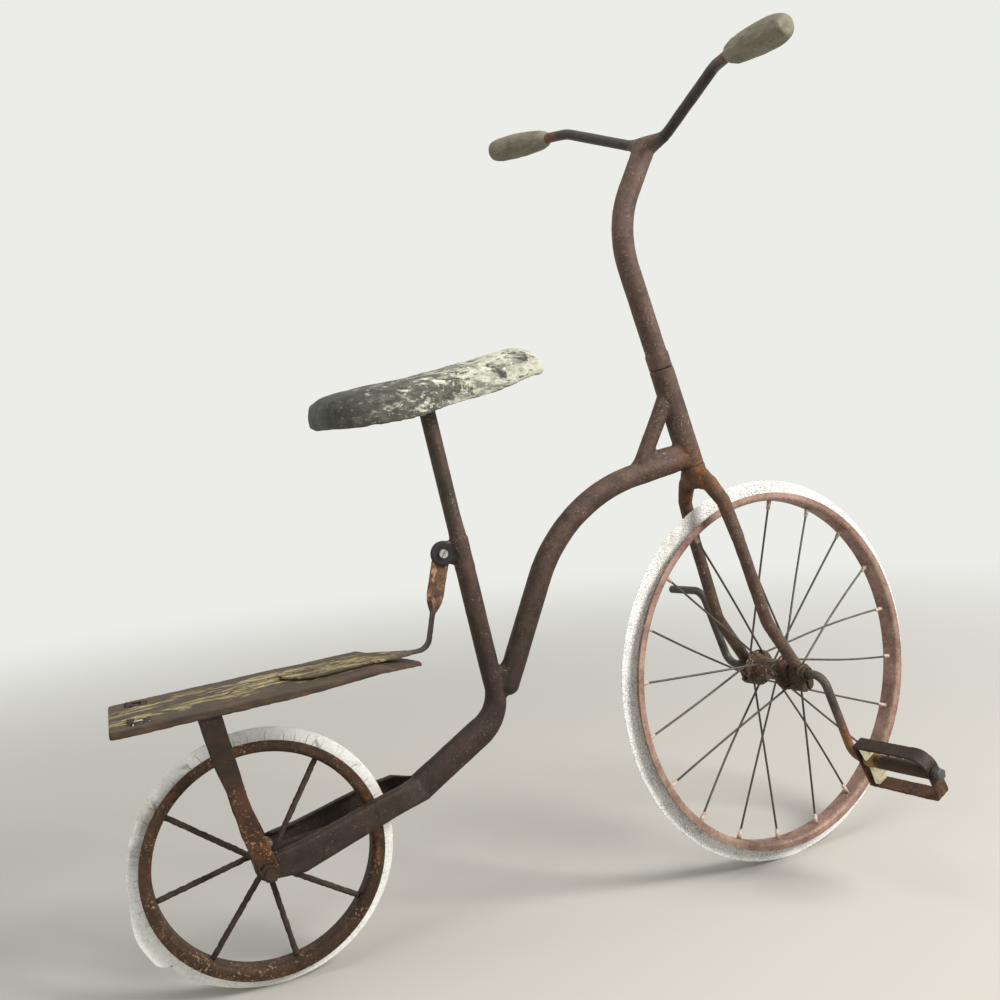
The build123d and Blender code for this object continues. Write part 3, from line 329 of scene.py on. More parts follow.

# %% [markdown]
# ## Materials of the metal pieces
# Each finish is a line of tones for the patina: deep, main, rust and speck, then how much rust and how many
# specks it shows, how rough it is and how high its bump stands. The tones were matched to the lit
# and the shaded sides of each piece. Materials set up one by one would do as well, but in a table the
# tones of neighbours can be compared.

# %% Metal finishes
FINISHES = {
    "frame": ((54, 40, 34), (91, 70, 59), (104, 74, 56), (182, 168, 154), 0.20, 0.60, 0.62, 0.7),
    # the lower frame: darker copies of the frame's tones, as painted shade
    "low_frame": ((33, 25, 19), (57, 43, 34), (76, 53, 38), (150, 136, 122), 0.22, 0.45, 0.62, 0.7),
    "crown": ((58, 39, 27), (88, 61, 43), (122, 78, 48), (170, 140, 110), 0.42, 0.35, 0.66, 0.7),
    "bar": ((32, 27, 23), (58, 51, 45), (104, 64, 44), (134, 124, 114), 0.16, 0.30, 0.46, 0.4),
    "crank": ((42, 36, 31), (78, 71, 63), (116, 76, 50), (150, 142, 130), 0.16, 0.30, 0.44, 0.4),
    "crank_end": ((70, 46, 30), (108, 72, 46), (134, 88, 56), (166, 138, 110), 0.50, 0.25, 0.62, 0.6),
    "block": ((32, 24, 16), (68, 53, 36), (98, 74, 48), (160, 138, 106), 0.24, 0.45, 0.56, 1.0),
    "hub": ((50, 36, 27), (98, 76, 60), (116, 82, 58), (216, 184, 170), 0.20, 1.00, 0.60, 0.8),
    "front_rim": ((102, 73, 62), (158, 130, 117), (128, 82, 66), (212, 198, 186), 0.26, 0.45, 0.56, 0.5),
    "rear_rim": ((39, 27, 17), (70, 48, 31), (104, 70, 44), (158, 130, 100), 0.30, 1.00, 0.66, 0.9),
    "spoke": ((46, 42, 35), (82, 78, 68), (104, 70, 46), (140, 134, 120), 0.18, 0.25, 0.44, 0.3),
    "nipple": ((150, 122, 106), (208, 188, 172), (166, 122, 98), (232, 222, 208), 0.22, 0.50, 0.54, 0.4),
    "rear_spoke": ((34, 27, 20), (64, 52, 41), (94, 62, 40), (134, 116, 94), 0.24, 0.35, 0.66, 1.0),
    "stay": ((37, 25, 17), (78, 51, 33), (108, 68, 41), (180, 130, 84), 0.26, 1.00, 0.66, 0.9),
    # the stays' upper part: darker tones as painted shadow of the footboard; the strap's stem wears them
    # too
    "stay_top": ((31, 22, 16), (54, 39, 28), (82, 54, 38), (130, 110, 92), 0.16, 0.40, 0.60, 0.6),
    "lug": ((22, 20, 18), (44, 40, 37), (72, 52, 40), (104, 96, 88), 0.08, 0.25, 0.44, 0.6),
    "pedal": ((26, 18, 12), (52, 36, 24), (84, 52, 31), (150, 124, 100), 0.18, 0.25, 0.56, 0.8),
    "pedal_low": ((44, 29, 19), (86, 57, 37), (114, 75, 48), (176, 146, 122), 0.34, 0.50, 0.60, 0.8),
    "barrel": ((38, 27, 18), (64, 46, 31), (94, 64, 40), (140, 112, 76), 0.24, 0.25, 0.58, 0.9),
    "amber": ((108, 76, 36), (150, 114, 64), (120, 84, 42), (200, 172, 116), 0.30, 0.30, 0.42, 0.3),
    "bolt": ((44, 45, 44), (86, 89, 88), (92, 70, 54), (170, 170, 166), 0.10, 0.35, 0.40, 0.5),
    "screw": ((130, 128, 122), (206, 204, 198), (150, 120, 92), (235, 235, 232), 0.06, 0.30, 0.30, 0.2),
    "pan": ((34, 29, 24), (62, 53, 44), (88, 60, 44), (120, 108, 94), 0.26, 0.25, 0.66, 0.7),
    "seat_post": ((46, 36, 30), (76, 61, 51), (92, 66, 50), (184, 172, 158), 0.14, 0.60, 0.54, 0.5),
}
METAL_SHARE = 0.15
METAL_SHINE = 0.35
COARSE = {"stay": 0.55, "rear_rim": 0.6, "hub": 0.45, "front_rim": 0.7}
RELIEF_MM = 0.5
print(len(FINISHES), "finishes")


# %% Material helpers
def new_material(name):
    """An empty node material: its tree, the shader and the Object coordinates."""
    material = bpy.data.materials.new(name)
    material.use_nodes = True
    tree = material.node_tree
    shader = tree.nodes["Principled BSDF"]
    here = tree.nodes.new("ShaderNodeTexCoord").outputs["Object"]
    return material, tree, shader, here


def bump(tree, shader, height, strength, distance_mm=RELIEF_MM):
    """Raises a material's surface by a height map."""
    made = add(tree, "ShaderNodeBump", Strength=strength, Distance=distance_mm / 1000, Height=height)
    tree.links.new(made.outputs["Normal"], shader.inputs["Normal"])


def wear(tree, shader, layer, strength, distance_mm=RELIEF_MM):
    """Links a layer of colour, roughness and height to a shader."""
    tree.links.new(layer[0], shader.inputs["Base Color"])
    tree.links.new(layer[1], shader.inputs["Roughness"])
    bump(tree, shader, layer[2], strength, distance_mm)


def mask_near(tree, here, centre, inner, outer):
    """One at a place in the row frame, fading out with distance."""
    return use(tree, near_place, Vector=here, Centre=centre, Inner=inner, Outer=outer).outputs["Mask"]


def along(tree, here, direction, low, high):
    """Zero to one between two places along X, Y or Z."""
    return between(tree, part_of(tree, here, direction), low, high)


print("helpers: new_material, bump, wear, mask_near, along")


# %% Layers of patina
def patina_layer(tree, here, finish):
    """The patina with one finish's tones, coarser for some: colour, roughness, height."""
    deep, main, rust, speck, rust_share, speck_share, roughness, _ = FINISHES[finish]
    if finish in COARSE:
        here = add(tree, "ShaderNodeMapping", Vector=here, Scale=(COARSE[finish],) * 3).outputs[0]
    layer = use(
        tree, patina, Vector=here, Deep=linear(*deep), Main=linear(*main), Rust=linear(*rust),
        Speck=linear(*speck), Rust_Amount=rust_share, Speck_Amount=speck_share, Roughness=roughness,
    )
    return [layer.outputs[name] for name in ("Color", "Roughness", "Height")]


def blend_layers(tree, share, first, second):
    """Mixes two layers of colour, roughness and height by a mask."""
    colour = tint(tree, share, first[0], second[0])
    rest = [
        calc(tree, "MULTIPLY_ADD", share, calc(tree, "SUBTRACT", b, a), a)
        for a, b in zip(first[1:], second[1:])
    ]
    return [colour, *rest]


def metal(name, finish, *overlays):
    """A rusted metal; each overlay is another finish and the mask of where it shows."""
    material, tree, shader, here = new_material(name)
    layer = patina_layer(tree, here, finish)
    for other, mask in overlays:
        layer = blend_layers(tree, mask(tree, here), layer, patina_layer(tree, here, other))
    wear(tree, shader, layer, FINISHES[finish][-1])
    shader.inputs["Metallic"].default_value = METAL_SHARE
    shader.inputs["Specular IOR Level"].default_value = METAL_SHINE
    return material


PLAIN = ("block", "hub", "front_rim", "rear_rim", "spoke", "nipple", "rear_spoke", "barrel", "bolt",
         "screw", "pan", "seat_post", "bar")
steel = {name: metal("rusted_" + name, name) for name in PLAIN}
print(len(steel), "metal finishes")

# %% [markdown]
# ## Making pieces from the CAD solids
# The CAD nodes have sharp edges where one solid ends and the next begins. On the real frame those joints
# are brazed and filed, and everything is softened by rust. So copies of the solids are merged, turned
# into one skin by a voxel remesh, their inside corners are melted by smoothing, and the skin gets faint
# lumps. The CAD nodes themselves stay untouched and are only replaced. Bevels and a subdivision surface
# would be lighter, but need one clean mesh, which copies of separate solids don't give.

# %% Copies, seams and edges
SAME_PLACE = 1e-6


def cad_copy(*nodes):
    """A bmesh with merged copies of CAD nodes."""
    made = bmesh.new()
    for name in nodes:
        made.from_mesh(frame["nodes"][name].data)
    bmesh.ops.remove_doubles(made, verts=made.verts, dist=SAME_PLACE)
    return made


def merge_into(made, other):
    """Adds one bmesh to another and frees it."""
    mesh = bpy.data.meshes.new("merged")
    other.to_mesh(mesh)
    other.free()
    made.from_mesh(mesh)
    bpy.data.meshes.remove(mesh)


def seal(made):
    """Merges doubled vertices and turns every face outwards."""
    bmesh.ops.remove_doubles(made, verts=made.verts, dist=SAME_PLACE)
    bmesh.ops.recalc_face_normals(made, faces=made.faces)


def soften(made, width):
    """Bevels every edge a little."""
    bmesh.ops.bevel(
        made, geom=made.edges[:], offset=width, affect="EDGES", segments=2, profile=0.5, material=-1
    )


print("helpers: cad_copy, merge_into, seal, soften")


# %% Laid and turned shapes
def laid(place, direction):
    """A matrix that puts a shape at a place, with its Z axis along a direction."""
    return Matrix.Translation(place) @ direction.to_track_quat("Z", "Y").to_matrix().to_4x4()


def lathe(made, line, matrix):
    """Spins a line of heights and radii round Z; a line that starts off the axis is closed to a ring."""
    verts = [made.verts.new((radius, 0, up)) for up, radius in line]
    pairs = list(zip(verts, verts[1:]))
    if line[0][1] > 0:
        pairs.append((verts[-1], verts[0]))
    edges = [made.edges.new(pair) for pair in pairs]
    bmesh.ops.spin(
        made, geom=verts + edges, cent=(0, 0, 0), axis=(0, 0, 1), angle=2 * math.pi, steps=40,
        use_merge=True,
    )
    seal(made)
    bmesh.ops.transform(made, matrix=matrix, verts=made.verts)


print("helpers: laid, lathe")


# %% One skin over solids
def as_object(name, made):
    """Puts a bmesh into a new object at the origin."""
    mesh = bpy.data.meshes.new(name)
    made.to_mesh(mesh)
    made.free()
    thing = bpy.data.objects.new(name, mesh)
    bpy.context.collection.objects.link(thing)
    return thing


def one_skin(made, voxel):
    """Voxel remesh of closed solids into one skin, as a new bmesh."""
    block = as_object("work", made)
    remesh = block.modifiers.new("skin", "REMESH")
    remesh.mode = "VOXEL"
    remesh.voxel_size = voxel
    result = bmesh.new()
    result.from_object(block, bpy.context.evaluated_depsgraph_get())
    mesh = block.data
    bpy.data.objects.remove(block)
    bpy.data.meshes.remove(mesh)
    return result


def keep_outer(made):
    """Drops every closed skin but the widest, such as the inner wall of a closed tube."""
    left = set(made.verts)
    islands = []
    while left:
        island = {left.pop()}
        to_visit = list(island)
        while to_visit:
            vert = to_visit.pop()
            for edge in vert.link_edges:
                other = edge.other_vert(vert)
                if other not in island:
                    island.add(other)
                    to_visit.append(other)
        left -= island
        islands.append(island)
    islands.sort(key=len)
    inner = [vert for island in islands[:-1] for vert in island]
    bmesh.ops.delete(made, geom=inner, context="VERTS")


print("helpers: as_object, one_skin, keep_outer")

# %% Melted corners and lumps
HOLLOW = 0.09


def smooth(made, verts, rounds):
    """Moves vertices half way towards their neighbours, some times over."""
    for _ in range(rounds):
        bmesh.ops.smooth_vert(
            made, verts=verts, factor=0.5, use_axis_x=True, use_axis_y=True, use_axis_z=True
        )


def melt_corners(made, voxel, reach, rounds):
    """Fills the inside corners where tubes meet, like a fillet of braze."""
    made.normal_update()
    inner = set()
    for vert in made.verts:
        around = [edge.other_vert(vert).co for edge in vert.link_edges]
        middle = sum(around, Vector()) / len(around)
        if (middle - vert.co).dot(vert.normal) > HOLLOW * voxel:
            inner.add(vert)
    for _ in range(reach):
        inner |= {edge.other_vert(vert) for vert in list(inner) for edge in vert.link_edges}
    smooth(made, list(inner), rounds)


def lumps(made, depth, size, seed=0.0):
    """Pushes vertices in and out a little, with two sizes of noise."""
    made.normal_update()
    offset = Vector((seed, seed * 0.7, -seed))
    for vert in made.verts:
        broad = noise.noise(vert.co / size + offset)
        fine = noise.noise(vert.co * (3.1 / size) + offset)
        vert.co += vert.normal * depth * (broad + 0.5 * fine - 0.5)


def swell(depth):
    """A reshape that pushes the skin out, as much as smoothing took."""
    def reshape(made):
        for vert in made.verts:
            vert.co += vert.normal * depth
    return reshape


print("helpers: smooth, melt_corners, lumps, swell")


# %% Finished pieces
def finish_piece(name, made, body, material, slot, *nodes):
    """Makes the object, gives it its material and body, and lets it stand for CAD nodes."""
    for face in made.faces:
        face.smooth = True
    count = len(made.faces)
    thing = as_object(name, made)
    thing.data.materials.append(material)
    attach(thing, body)
    if nodes:
        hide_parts(*nodes)
    print(name, count, "faces on", body)
    return thing


def weathered(name, nodes, body, material, slot, voxel, copies=None, extra=None, melt=(0, 0),
              lump=(0.0002, 0.014), even=1, outer=False, reshape=None, seed=0.0):
    """One softened, lumpy skin over CAD solids, which it then stands for."""
    made = cad_copy(*(nodes if copies is None else copies))
    if extra:
        extra(made)
    made = one_skin(made, voxel)
    if outer:
        keep_outer(made)
    smooth(made, made.verts, even)
    if melt[1]:
        melt_corners(made, voxel, *melt)
    if reshape:
        made.normal_update()
        reshape(made)
    lumps(made, *lump, seed=seed)
    return finish_piece(name, made, body, material, slot, *nodes)


print(len(frame["nodes"]), "CAD nodes to copy from")

# %% [markdown]
# ## Places on the steering
# The fork, the stem and the front wheel are drawn in coordinates of their own: forward, to the left, and
# up along the steering axis, in millimetres. Places in the row frame would change with the steering's
# angle, and these don't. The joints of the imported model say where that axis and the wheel's axis lie, so
# one helper turns such a place into the row frame.

# %% Steering coordinates
steer = joints["steering_turn"]
STEER_JOINT_UP = 288.0
front_centre = Vector(joints["front_wheel_spin"]["pos_m"])
front_axis = Vector(joints["front_wheel_spin"]["axis"]).normalized()
steer_axis = Vector(steer["axis"]).normalized()
steer_ahead = front_axis.cross(steer_axis)
steer_foot = Vector(steer["pos_m"]) - steer_axis * STEER_JOINT_UP / 1000
rear_centre = Vector(joints["rear_wheel_spin"]["pos_m"])
rear_axis = Vector((0, 1, 0))
pedal_centre = Vector(joints["pedal_spin"]["pos_m"])
FRONT_RADIUS = 0.200
REAR_RADIUS = 0.119
HEAD_LOW = 238.0


def on_steering(forward, left, up):
    """A place on the steering, in millimetres, as a point of the row frame."""
    return steer_foot + (steer_ahead * forward + front_axis * left + steer_axis * up) / 1000


print("wheel centre is", round((front_centre - steer_foot).length * 1000, 1), "mm from the axis' foot")

# %% [markdown]
# ## Limbs and rods
# Two more shapes are needed to shape the joints. A limb is a tapered bar with ball ends, which gives a
# joint more flesh before the remesh. Metaballs would flow together without one, but their sizes are hard
# to set. A rod is a smooth curve with a round section, for the bent bars.

# %% Limb and rod
def limb(made, start, end, start_r, end_r):
    """A tapered round bar with ball ends; places in metres, radii in millimetres."""
    run = end - start
    bmesh.ops.create_cone(
        made, cap_ends=True, segments=32, radius1=start_r / 1000, radius2=end_r / 1000, depth=run.length,
        matrix=laid((start + end) / 2, run),
    )
    for centre, radius in ((start, start_r), (end, end_r)):
        bmesh.ops.create_uvsphere(
            made, u_segments=24, v_segments=14, radius=radius / 1000, matrix=Matrix.Translation(centre)
        )


def rod(made, points, radius, steps=10, roundness=4):
    """A smooth bar along points in metres; radius in millimetres."""
    curve = bpy.data.curves.new("rod", "CURVE")
    curve.dimensions = "3D"
    line = curve.splines.new("NURBS")
    line.points.add(len(points) - 1)
    for at, point in zip(line.points, points):
        at.co = (*point, 1.0)
    line.order_u = 3
    line.use_endpoint_u = True
    line.resolution_u = steps
    curve.bevel_depth = radius / 1000
    curve.bevel_resolution = roundness
    curve.use_fill_caps = True
    thing = bpy.data.objects.new("rod", curve)
    mesh = bpy.data.meshes.new_from_object(thing)
    made.from_mesh(mesh)
    bpy.data.meshes.remove(mesh)
    bpy.data.objects.remove(thing)
    bpy.data.curves.remove(curve)


def eased(points, ease_mm):
    """Points with two more beside each corner, so that the rod bends only there."""
    result = [points[0]]
    for before, corner, after in zip(points, points[1:], points[2:]):
        result.append(corner + (before - corner).normalized() * ease_mm / 1000)
        result.append(corner)
        result.append(corner + (after - corner).normalized() * ease_mm / 1000)
    return [*result, points[-1]]


bend = [Vector((0, 0, 0)), Vector((1, 0, 0)), Vector((1, 1, 0))]
print("a bend through 3 points is eased with", len(eased(bend, 14)), "points")

# %% [markdown]
# ## The welded frame
# Head tube, its short brace, the long curved tube, the seat tube with its tail and the two rear blades are
# one welded frame on the real object, with soft fillets round the small window at the head. Bevels on
# each joint would have to be matched by hand; one skin over the solids flows round all of them. Limbs
# flesh out the brace, the fillets and the crotch of the two tubes first.

# %% Frame
BRACE_R = 8.2
FRAME_LIMBS = (
    ((0.2870, -0.0280), (0.2700, -0.0620), 8.6, BRACE_R),  # brace, upper half
    ((0.2700, -0.0620), (0.2478, -0.1045), BRACE_R, BRACE_R),  # brace, lower half
    ((0.2640, -0.0995), (0.2860, -0.0965), 8.2, 8.2),  # fillet under the window
    ((0.2410, -0.1080), (0.2500, -0.0980), 6.0, 6.5),  # fillet behind the brace
    ((0.0830, -0.2880), (0.0868, -0.2795), 8.0, 4.6),  # crotch of the two tubes
    ((0.0547, -0.1820), (0.0474, -0.1300), 9.9, 7.4),  # taper under the post
)
LUG_PLACE = Vector((0.0330, -0.0032, -0.1649))
LUG_FLATNESS = 0.24


def frame_flesh(made):
    """Limbs in the frame's middle plane, and the ear that the strap hangs on."""
    for start, end, start_r, end_r in FRAME_LIMBS:
        limb(made, Vector((start[0], 0, start[1])), Vector((end[0], 0, end[1])), start_r, end_r)
    ear = bmesh.new()
    limb(ear, LUG_PLACE, Vector((0.0490, 0, -0.1600)), 9.0, 9.5)
    limb(ear, LUG_PLACE, Vector((0.0500, 0, -0.1760)), 8.0, 5.0)
    for vert in ear.verts:
        vert.co.y = LUG_PLACE.y + (vert.co.y - LUG_PLACE.y) * LUG_FLATNESS
    merge_into(made, ear)


print(len(FRAME_LIMBS), "limbs flesh out the frame")


# %% Frame finish and skin
def at_head(tree, here):
    """The orange bloom of rust at the lower head."""
    return times(tree, mask_near(tree, here, (0.3080, 0.0, -0.1080), 0.012, 0.034), 0.8)


def at_lug(tree, here):
    """The black ear that the strap hangs on."""
    return mask_near(tree, here, LUG_PLACE, 0.0125, 0.0175)


def painted_shade_low(tree, here):
    """The lower frame, darker as painted shade."""
    return along(tree, here, Z, -0.10, -0.30)


frame_metal = metal(
    "frame_metal", "frame", ("low_frame", painted_shade_low), ("crown", at_head), ("lug", at_lug)
)
FRAME_NODES = ("head_tube", "main_tube", "seat_tube", "rear_fork_blade_right",
               "rear_fork_blade_left", "strap_lug")
weathered(
    "welded_frame", (*FRAME_NODES, "joint_web", "head_brace"), "frame", frame_metal, "frame_rust",
    voxel=0.0011, copies=FRAME_NODES, extra=frame_flesh, melt=(3, 30), lump=(0.00022, 0.016), outer=True,
    seed=1.7,
)

# %% [markdown]
# ## The fork
# The real crown is no block: two limbs grow out of a short neck like a wishbone. So the CAD crown isn't
# copied. A neck under the head tube and two limbs that run into the CAD blades take its place, and a
# thin ring on the neck closes the gap to the head tube.

# %% Fork
NECK_FOOT, NECK_TOP = 226.0, 238.3
SHOULDER = ((4, 225, 11.0), (17, 219, 8.2), (29.2, 199, 6.9), (33.6, 160, 6.5))


def fork_flesh(made):
    """Neck and the two shoulders of the wishbone; each shoulder place is left, up and radius."""
    limb(made, on_steering(0, 0, NECK_FOOT), on_steering(0, 0, NECK_FOOT + 3), 12.2, 12.2)
    run = on_steering(0, 0, NECK_TOP) - on_steering(0, 0, NECK_FOOT)
    bmesh.ops.create_cone(
        made, cap_ends=True, segments=48, radius1=0.0120, radius2=0.0124, depth=run.length,
        matrix=laid(on_steering(0, 0, (NECK_FOOT + NECK_TOP) / 2), run),
    )
    for side in (-1, 1):
        for (left, up, radius), (next_left, next_up, next_radius) in zip(SHOULDER, SHOULDER[1:]):
            place = on_steering(0, side * left, up)
            limb(made, place, on_steering(0, side * next_left, next_up), radius, next_radius)


print(len(SHOULDER) - 1, "limbs on each side of the crown")


# %% Fork finish and skin
def at_crown(tree, here):
    """Orange crown, purple-brown blades."""
    return mask_near(tree, here, on_steering(0, 0, 222), 0.022, 0.060)


fork_metal = metal("fork_metal", "frame", ("crown", at_crown))
BLADES = ("fork_blade_right", "fork_blade_left")
weathered(
    "wishbone_fork", ("fork_crown", *BLADES), "steering", fork_metal, "frame_rust", voxel=0.0010,
    copies=BLADES, extra=fork_flesh, melt=(3, 30), lump=(0.0002, 0.015), even=2,
    reshape=swell(0.0003), seed=4.1,
)

# %% Neck ring below the head tube
made = bmesh.new()
bmesh.ops.create_cone(
    made, cap_ends=True, segments=72, radius1=0.0121, radius2=0.0124, depth=0.0035,
    matrix=laid(on_steering(0, 0, HEAD_LOW - 1.2), steer_axis),
)
finish_piece("neck_ring", made, "steering", fork_metal, "frame_rust")

# %% [markdown]
# ## Stem and handlebar
# The gooseneck swells into the bar without a clamp. A boolean union would join them with a hard edge, so
# both are one skin too. The bar is a smooth rod along the corners of the CAD bar. It is darker and
# smoother than the stem: the mask is the distance from the wheel's middle plane.

# %% Stem and handlebar
STEM_END = (64.6, 0.0, 552.1)
BAR_RIGHT = ((76.3, -21, 555.7), (75.3, -112, 592.7), (60.3, -147, 593.2), (48.8, -218, 590.1))
BAR_LEFT = ((68.3, 21, 560.7), (67.3, 112, 602.2), (67.3, 147, 608.7), (49.5, 218, 621.1))
BAR_R = 5.2


def stem_flesh(made):
    """The bar, and the flare from the stem into both of its halves."""
    corners = [on_steering(*at) for at in (*reversed(BAR_RIGHT), *BAR_LEFT)]
    rod(made, eased(corners, 14), BAR_R, steps=12, roundness=6)
    tip = on_steering(*STEM_END)
    limb(made, on_steering(58.0, 0, 545.5), tip, 10.8, 10.9)
    for at in (BAR_RIGHT[0], BAR_LEFT[0]):
        shoulder = on_steering(*at)
        limb(made, tip, tip.lerp(shoulder, 0.62), 10.4, 6.8)
        limb(made, tip.lerp(shoulder, 0.62), shoulder, 6.8, 5.0)


print("the bar bends at", len(BAR_RIGHT + BAR_LEFT) - 2, "places")


# %% Finish and skin of the bar
def wheel_space(tree, here, centre, axis, radius):
    """Coordinates round, across and out from a wheel."""
    ahead = axis.cross(Vector((0, 0, 1))).normalized()
    return use(
        tree, round_wheel, Vector=here, Centre=centre, Axis=axis, Ahead=ahead, Up=ahead.cross(axis),
        Radius=radius,
    )


def beside_stem(tree, here):
    """One on the bar, zero on the stem."""
    space = wheel_space(tree, here, front_centre, front_axis, FRONT_RADIUS)
    side = calc(tree, "ABSOLUTE", space.outputs["Across"])
    return between(tree, side, 0.010, 0.024)


def at_bends(tree, here):
    """Ragged orange rust where the bar bends towards its grips."""
    masks = [mask_near(tree, here, on_steering(*at[2]), 0.008, 0.030) for at in (BAR_RIGHT, BAR_LEFT)]
    ragged = between(tree, grain(tree, here, 120.0, 6.0, 0.7), 0.42, 0.56)
    return times(tree, calc(tree, "MAXIMUM", *masks), ragged)


stem_metal = metal("stem_metal", "frame", ("bar", beside_stem), ("crank_end", at_bends))
weathered(
    "gooseneck_and_bar", ("stem", "handlebar"), "steering", stem_metal, "frame_rust", voxel=0.0009,
    copies=("stem",), extra=stem_flesh, melt=(4, 34), lump=(0.00018, 0.012), even=2,
    reshape=swell(0.0004), seed=7.3,
)

# %% [markdown]
# ## Stays and bearing blocks
# These are pressed sheet and small castings. A bevel on each edge would leave them too neat, so they get
# thin skins too, which keep the folds, while no edge stays knife sharp.

# %% Pressed and cast pieces
def board_shadow_on_stay(tree, here):
    """The stay's upper part, darker as painted shadow of the footboard."""
    return along(tree, here, Z, -0.345, -0.315)


stay_metal = metal("stay_metal", "stay", ("stay_top", board_shadow_on_stay))
for side in ("right", "left"):
    weathered(
        "board_stay_" + side, ("footboard_stay_" + side,), "frame", stay_metal, "stay_rust",
        voxel=0.0009, lump=(0.0002, 0.012), seed=5.5,
    )
    weathered(
        "axle_block_" + side, ("bearing_block_" + side,), "steering", steel["block"], "frame_rust",
        voxel=0.0006, melt=(2, 6), lump=(0.0004, 0.006), even=2, seed=3.3,
    )

# %% [markdown]
# ## Coats that flake
# The saddle, the grips, the footboard and the strap share the flaking group. Each coat is a line of tones,
# then how much paint is left where it is most worn and where it is best kept, the size and the softness of
# the flakes, how the pattern is stretched, and the relief. Stains are laid over it: a tone, a noise scale,
# the two levels of its edge and its strength.

# %% Coats
COATS = {
    "saddle": ((88, 87, 77), (42, 41, 34), (186, 186, 167), (144, 143, 127), 0.18, 0.74, 86.0, 0.05,
               (0.55, 1.0, 1.3), 0.8),
    "grip": ((114, 108, 89), (84, 78, 63), (138, 132, 113), (122, 116, 97), 0.30, 0.30, 40.0, 0.20,
             (0.8, 0.35, 1.2), 0.3),
    "cream": ((218, 208, 172), (170, 150, 108), (244, 236, 206), (226, 216, 182), 0.70, 0.70, 120.0, 0.08,
              (1.0, 1.0, 1.0), 0.4),
    "board": ((76, 54, 31), (38, 27, 16), (164, 150, 104), (120, 104, 62), 0.12, 0.50, 96.0, 0.03,
              (0.26, 1.0, 1.0), 0.9),
    "leaf": ((74, 52, 30), (38, 27, 16), (160, 146, 100), (118, 102, 60), 0.06, 0.52, 118.0, 0.03,
             (0.34, 1.0, 1.0), 0.9),
    "strap": ((118, 80, 52), (56, 40, 29), (182, 144, 106), (146, 108, 76), 0.40, 0.40, 84.0, 0.04,
              (1.0, 1.0, 0.5), 0.8),
}
COAT_RELIEF_MM = 0.7
STAINS = {
    "saddle": (((36, 36, 30), 46.0, 0.50, 0.60, 0.70), ((220, 219, 200), 170.0, 0.56, 0.64, 0.6),
               ((52, 50, 42), 300.0, 0.56, 0.64, 0.45)),
    "grip": (((70, 65, 53), 30.0, 0.54, 0.70, 0.55), ((176, 170, 152), 190.0, 0.64, 0.70, 0.6),
             ((58, 53, 43), 160.0, 0.62, 0.68, 0.6)),
    "cream": (((110, 84, 50), 140.0, 0.58, 0.72, 0.6),),
    "board": (((78, 74, 38), 24.0, 0.52, 0.66, 0.55), ((40, 28, 17), 46.0, 0.52, 0.64, 0.75),
              ((112, 74, 46), 80.0, 0.58, 0.68, 0.5), ((48, 34, 20), 240.0, 0.51, 0.58, 0.65)),
    "leaf": (((70, 66, 34), 24.0, 0.52, 0.66, 0.55), ((40, 28, 17), 60.0, 0.50, 0.62, 0.75),
             ((48, 34, 20), 240.0, 0.51, 0.58, 0.65)),
    "strap": (((70, 48, 34), 60.0, 0.54, 0.66, 0.6), ((44, 32, 25), 260.0, 0.53, 0.60, 0.7)),
}
print(len(COATS), "coats")


# %% Coated materials
def coat_layer(tree, here, name, kept=None):
    """A flaking coat: colour, roughness, height. The mask says where the paint is best kept."""
    ground, deep, paint, shade, worst, best, size, softness, stretch, _ = COATS[name]
    vector = add(tree, "ShaderNodeMapping", Vector=here, Scale=stretch).outputs[0]
    amount = worst
    if kept:
        amount = calc(tree, "MULTIPLY_ADD", kept(tree, here), best - worst, worst)
    layer = use(
        tree, flaking, Vector=vector, Ground=linear(*ground), Ground_Deep=linear(*deep),
        Paint=linear(*paint), Paint_Shade=linear(*shade), Coverage=amount, Size=size, Softness=softness,
    )
    colour = layer.outputs["Color"]
    for stain, scale, low, high, strength in STAINS[name]:
        mask = between(tree, grain(tree, vector, scale, 8.0, 0.72), low, high, 0.0, strength)
        colour = tint(tree, mask, colour, linear(*stain))
    return [colour, layer.outputs["Roughness"], layer.outputs["Height"]]


def coat(name, coat_name, kept=None, darker=None):
    """A coated material; darker is a tone and the mask of where it lies."""
    material, tree, shader, here = new_material(name)
    layer = coat_layer(tree, here, coat_name, kept)
    if darker:
        tone, mask = darker
        layer[0] = tint(tree, mask(tree, here), layer[0], linear(*tone))
    wear(tree, shader, layer, COATS[coat_name][-1], COAT_RELIEF_MM)
    return material


print("helpers: coat_layer, coat")

# %% [markdown]
# ## Saddle
# The saddle is a hard shell shaped like a worn bar of soap. A coarse cage under a subdivision surface is
# the usual way to make one. Here the CAD shell has the right size already, but it is a run of flat bands,
# so its skin is smoothed more than the others, and its nose is filled out again afterwards. Its cover is
# sooty at the back and flakes to near white at the nose.

# %% Saddle cover
def towards_nose(tree, here):
    """Zero at the back, one at the nose, with a ragged edge."""
    return between(tree, frayed(tree, part_of(tree, here, X), here, 20.0, 0.16), -0.075, 0.125)


def sooty_back(tree, here):
    """The dark back of the saddle."""
    edge = frayed(tree, part_of(tree, here, X), here, 34.0, 0.14, 8.0, 0.74)
    return between(tree, edge, 0.0, -0.075, 0.0, 0.8)


saddle_coat = coat("saddle_coat", "saddle", towards_nose, ((42, 41, 33), sooty_back))
print(saddle_coat.name, "has", len(saddle_coat.node_tree.nodes), "nodes")

# %% Saddle
TOP_SLOPE = 0.176
NOSE_SWELL = 0.0013
NOSE_DROP = 0.0072


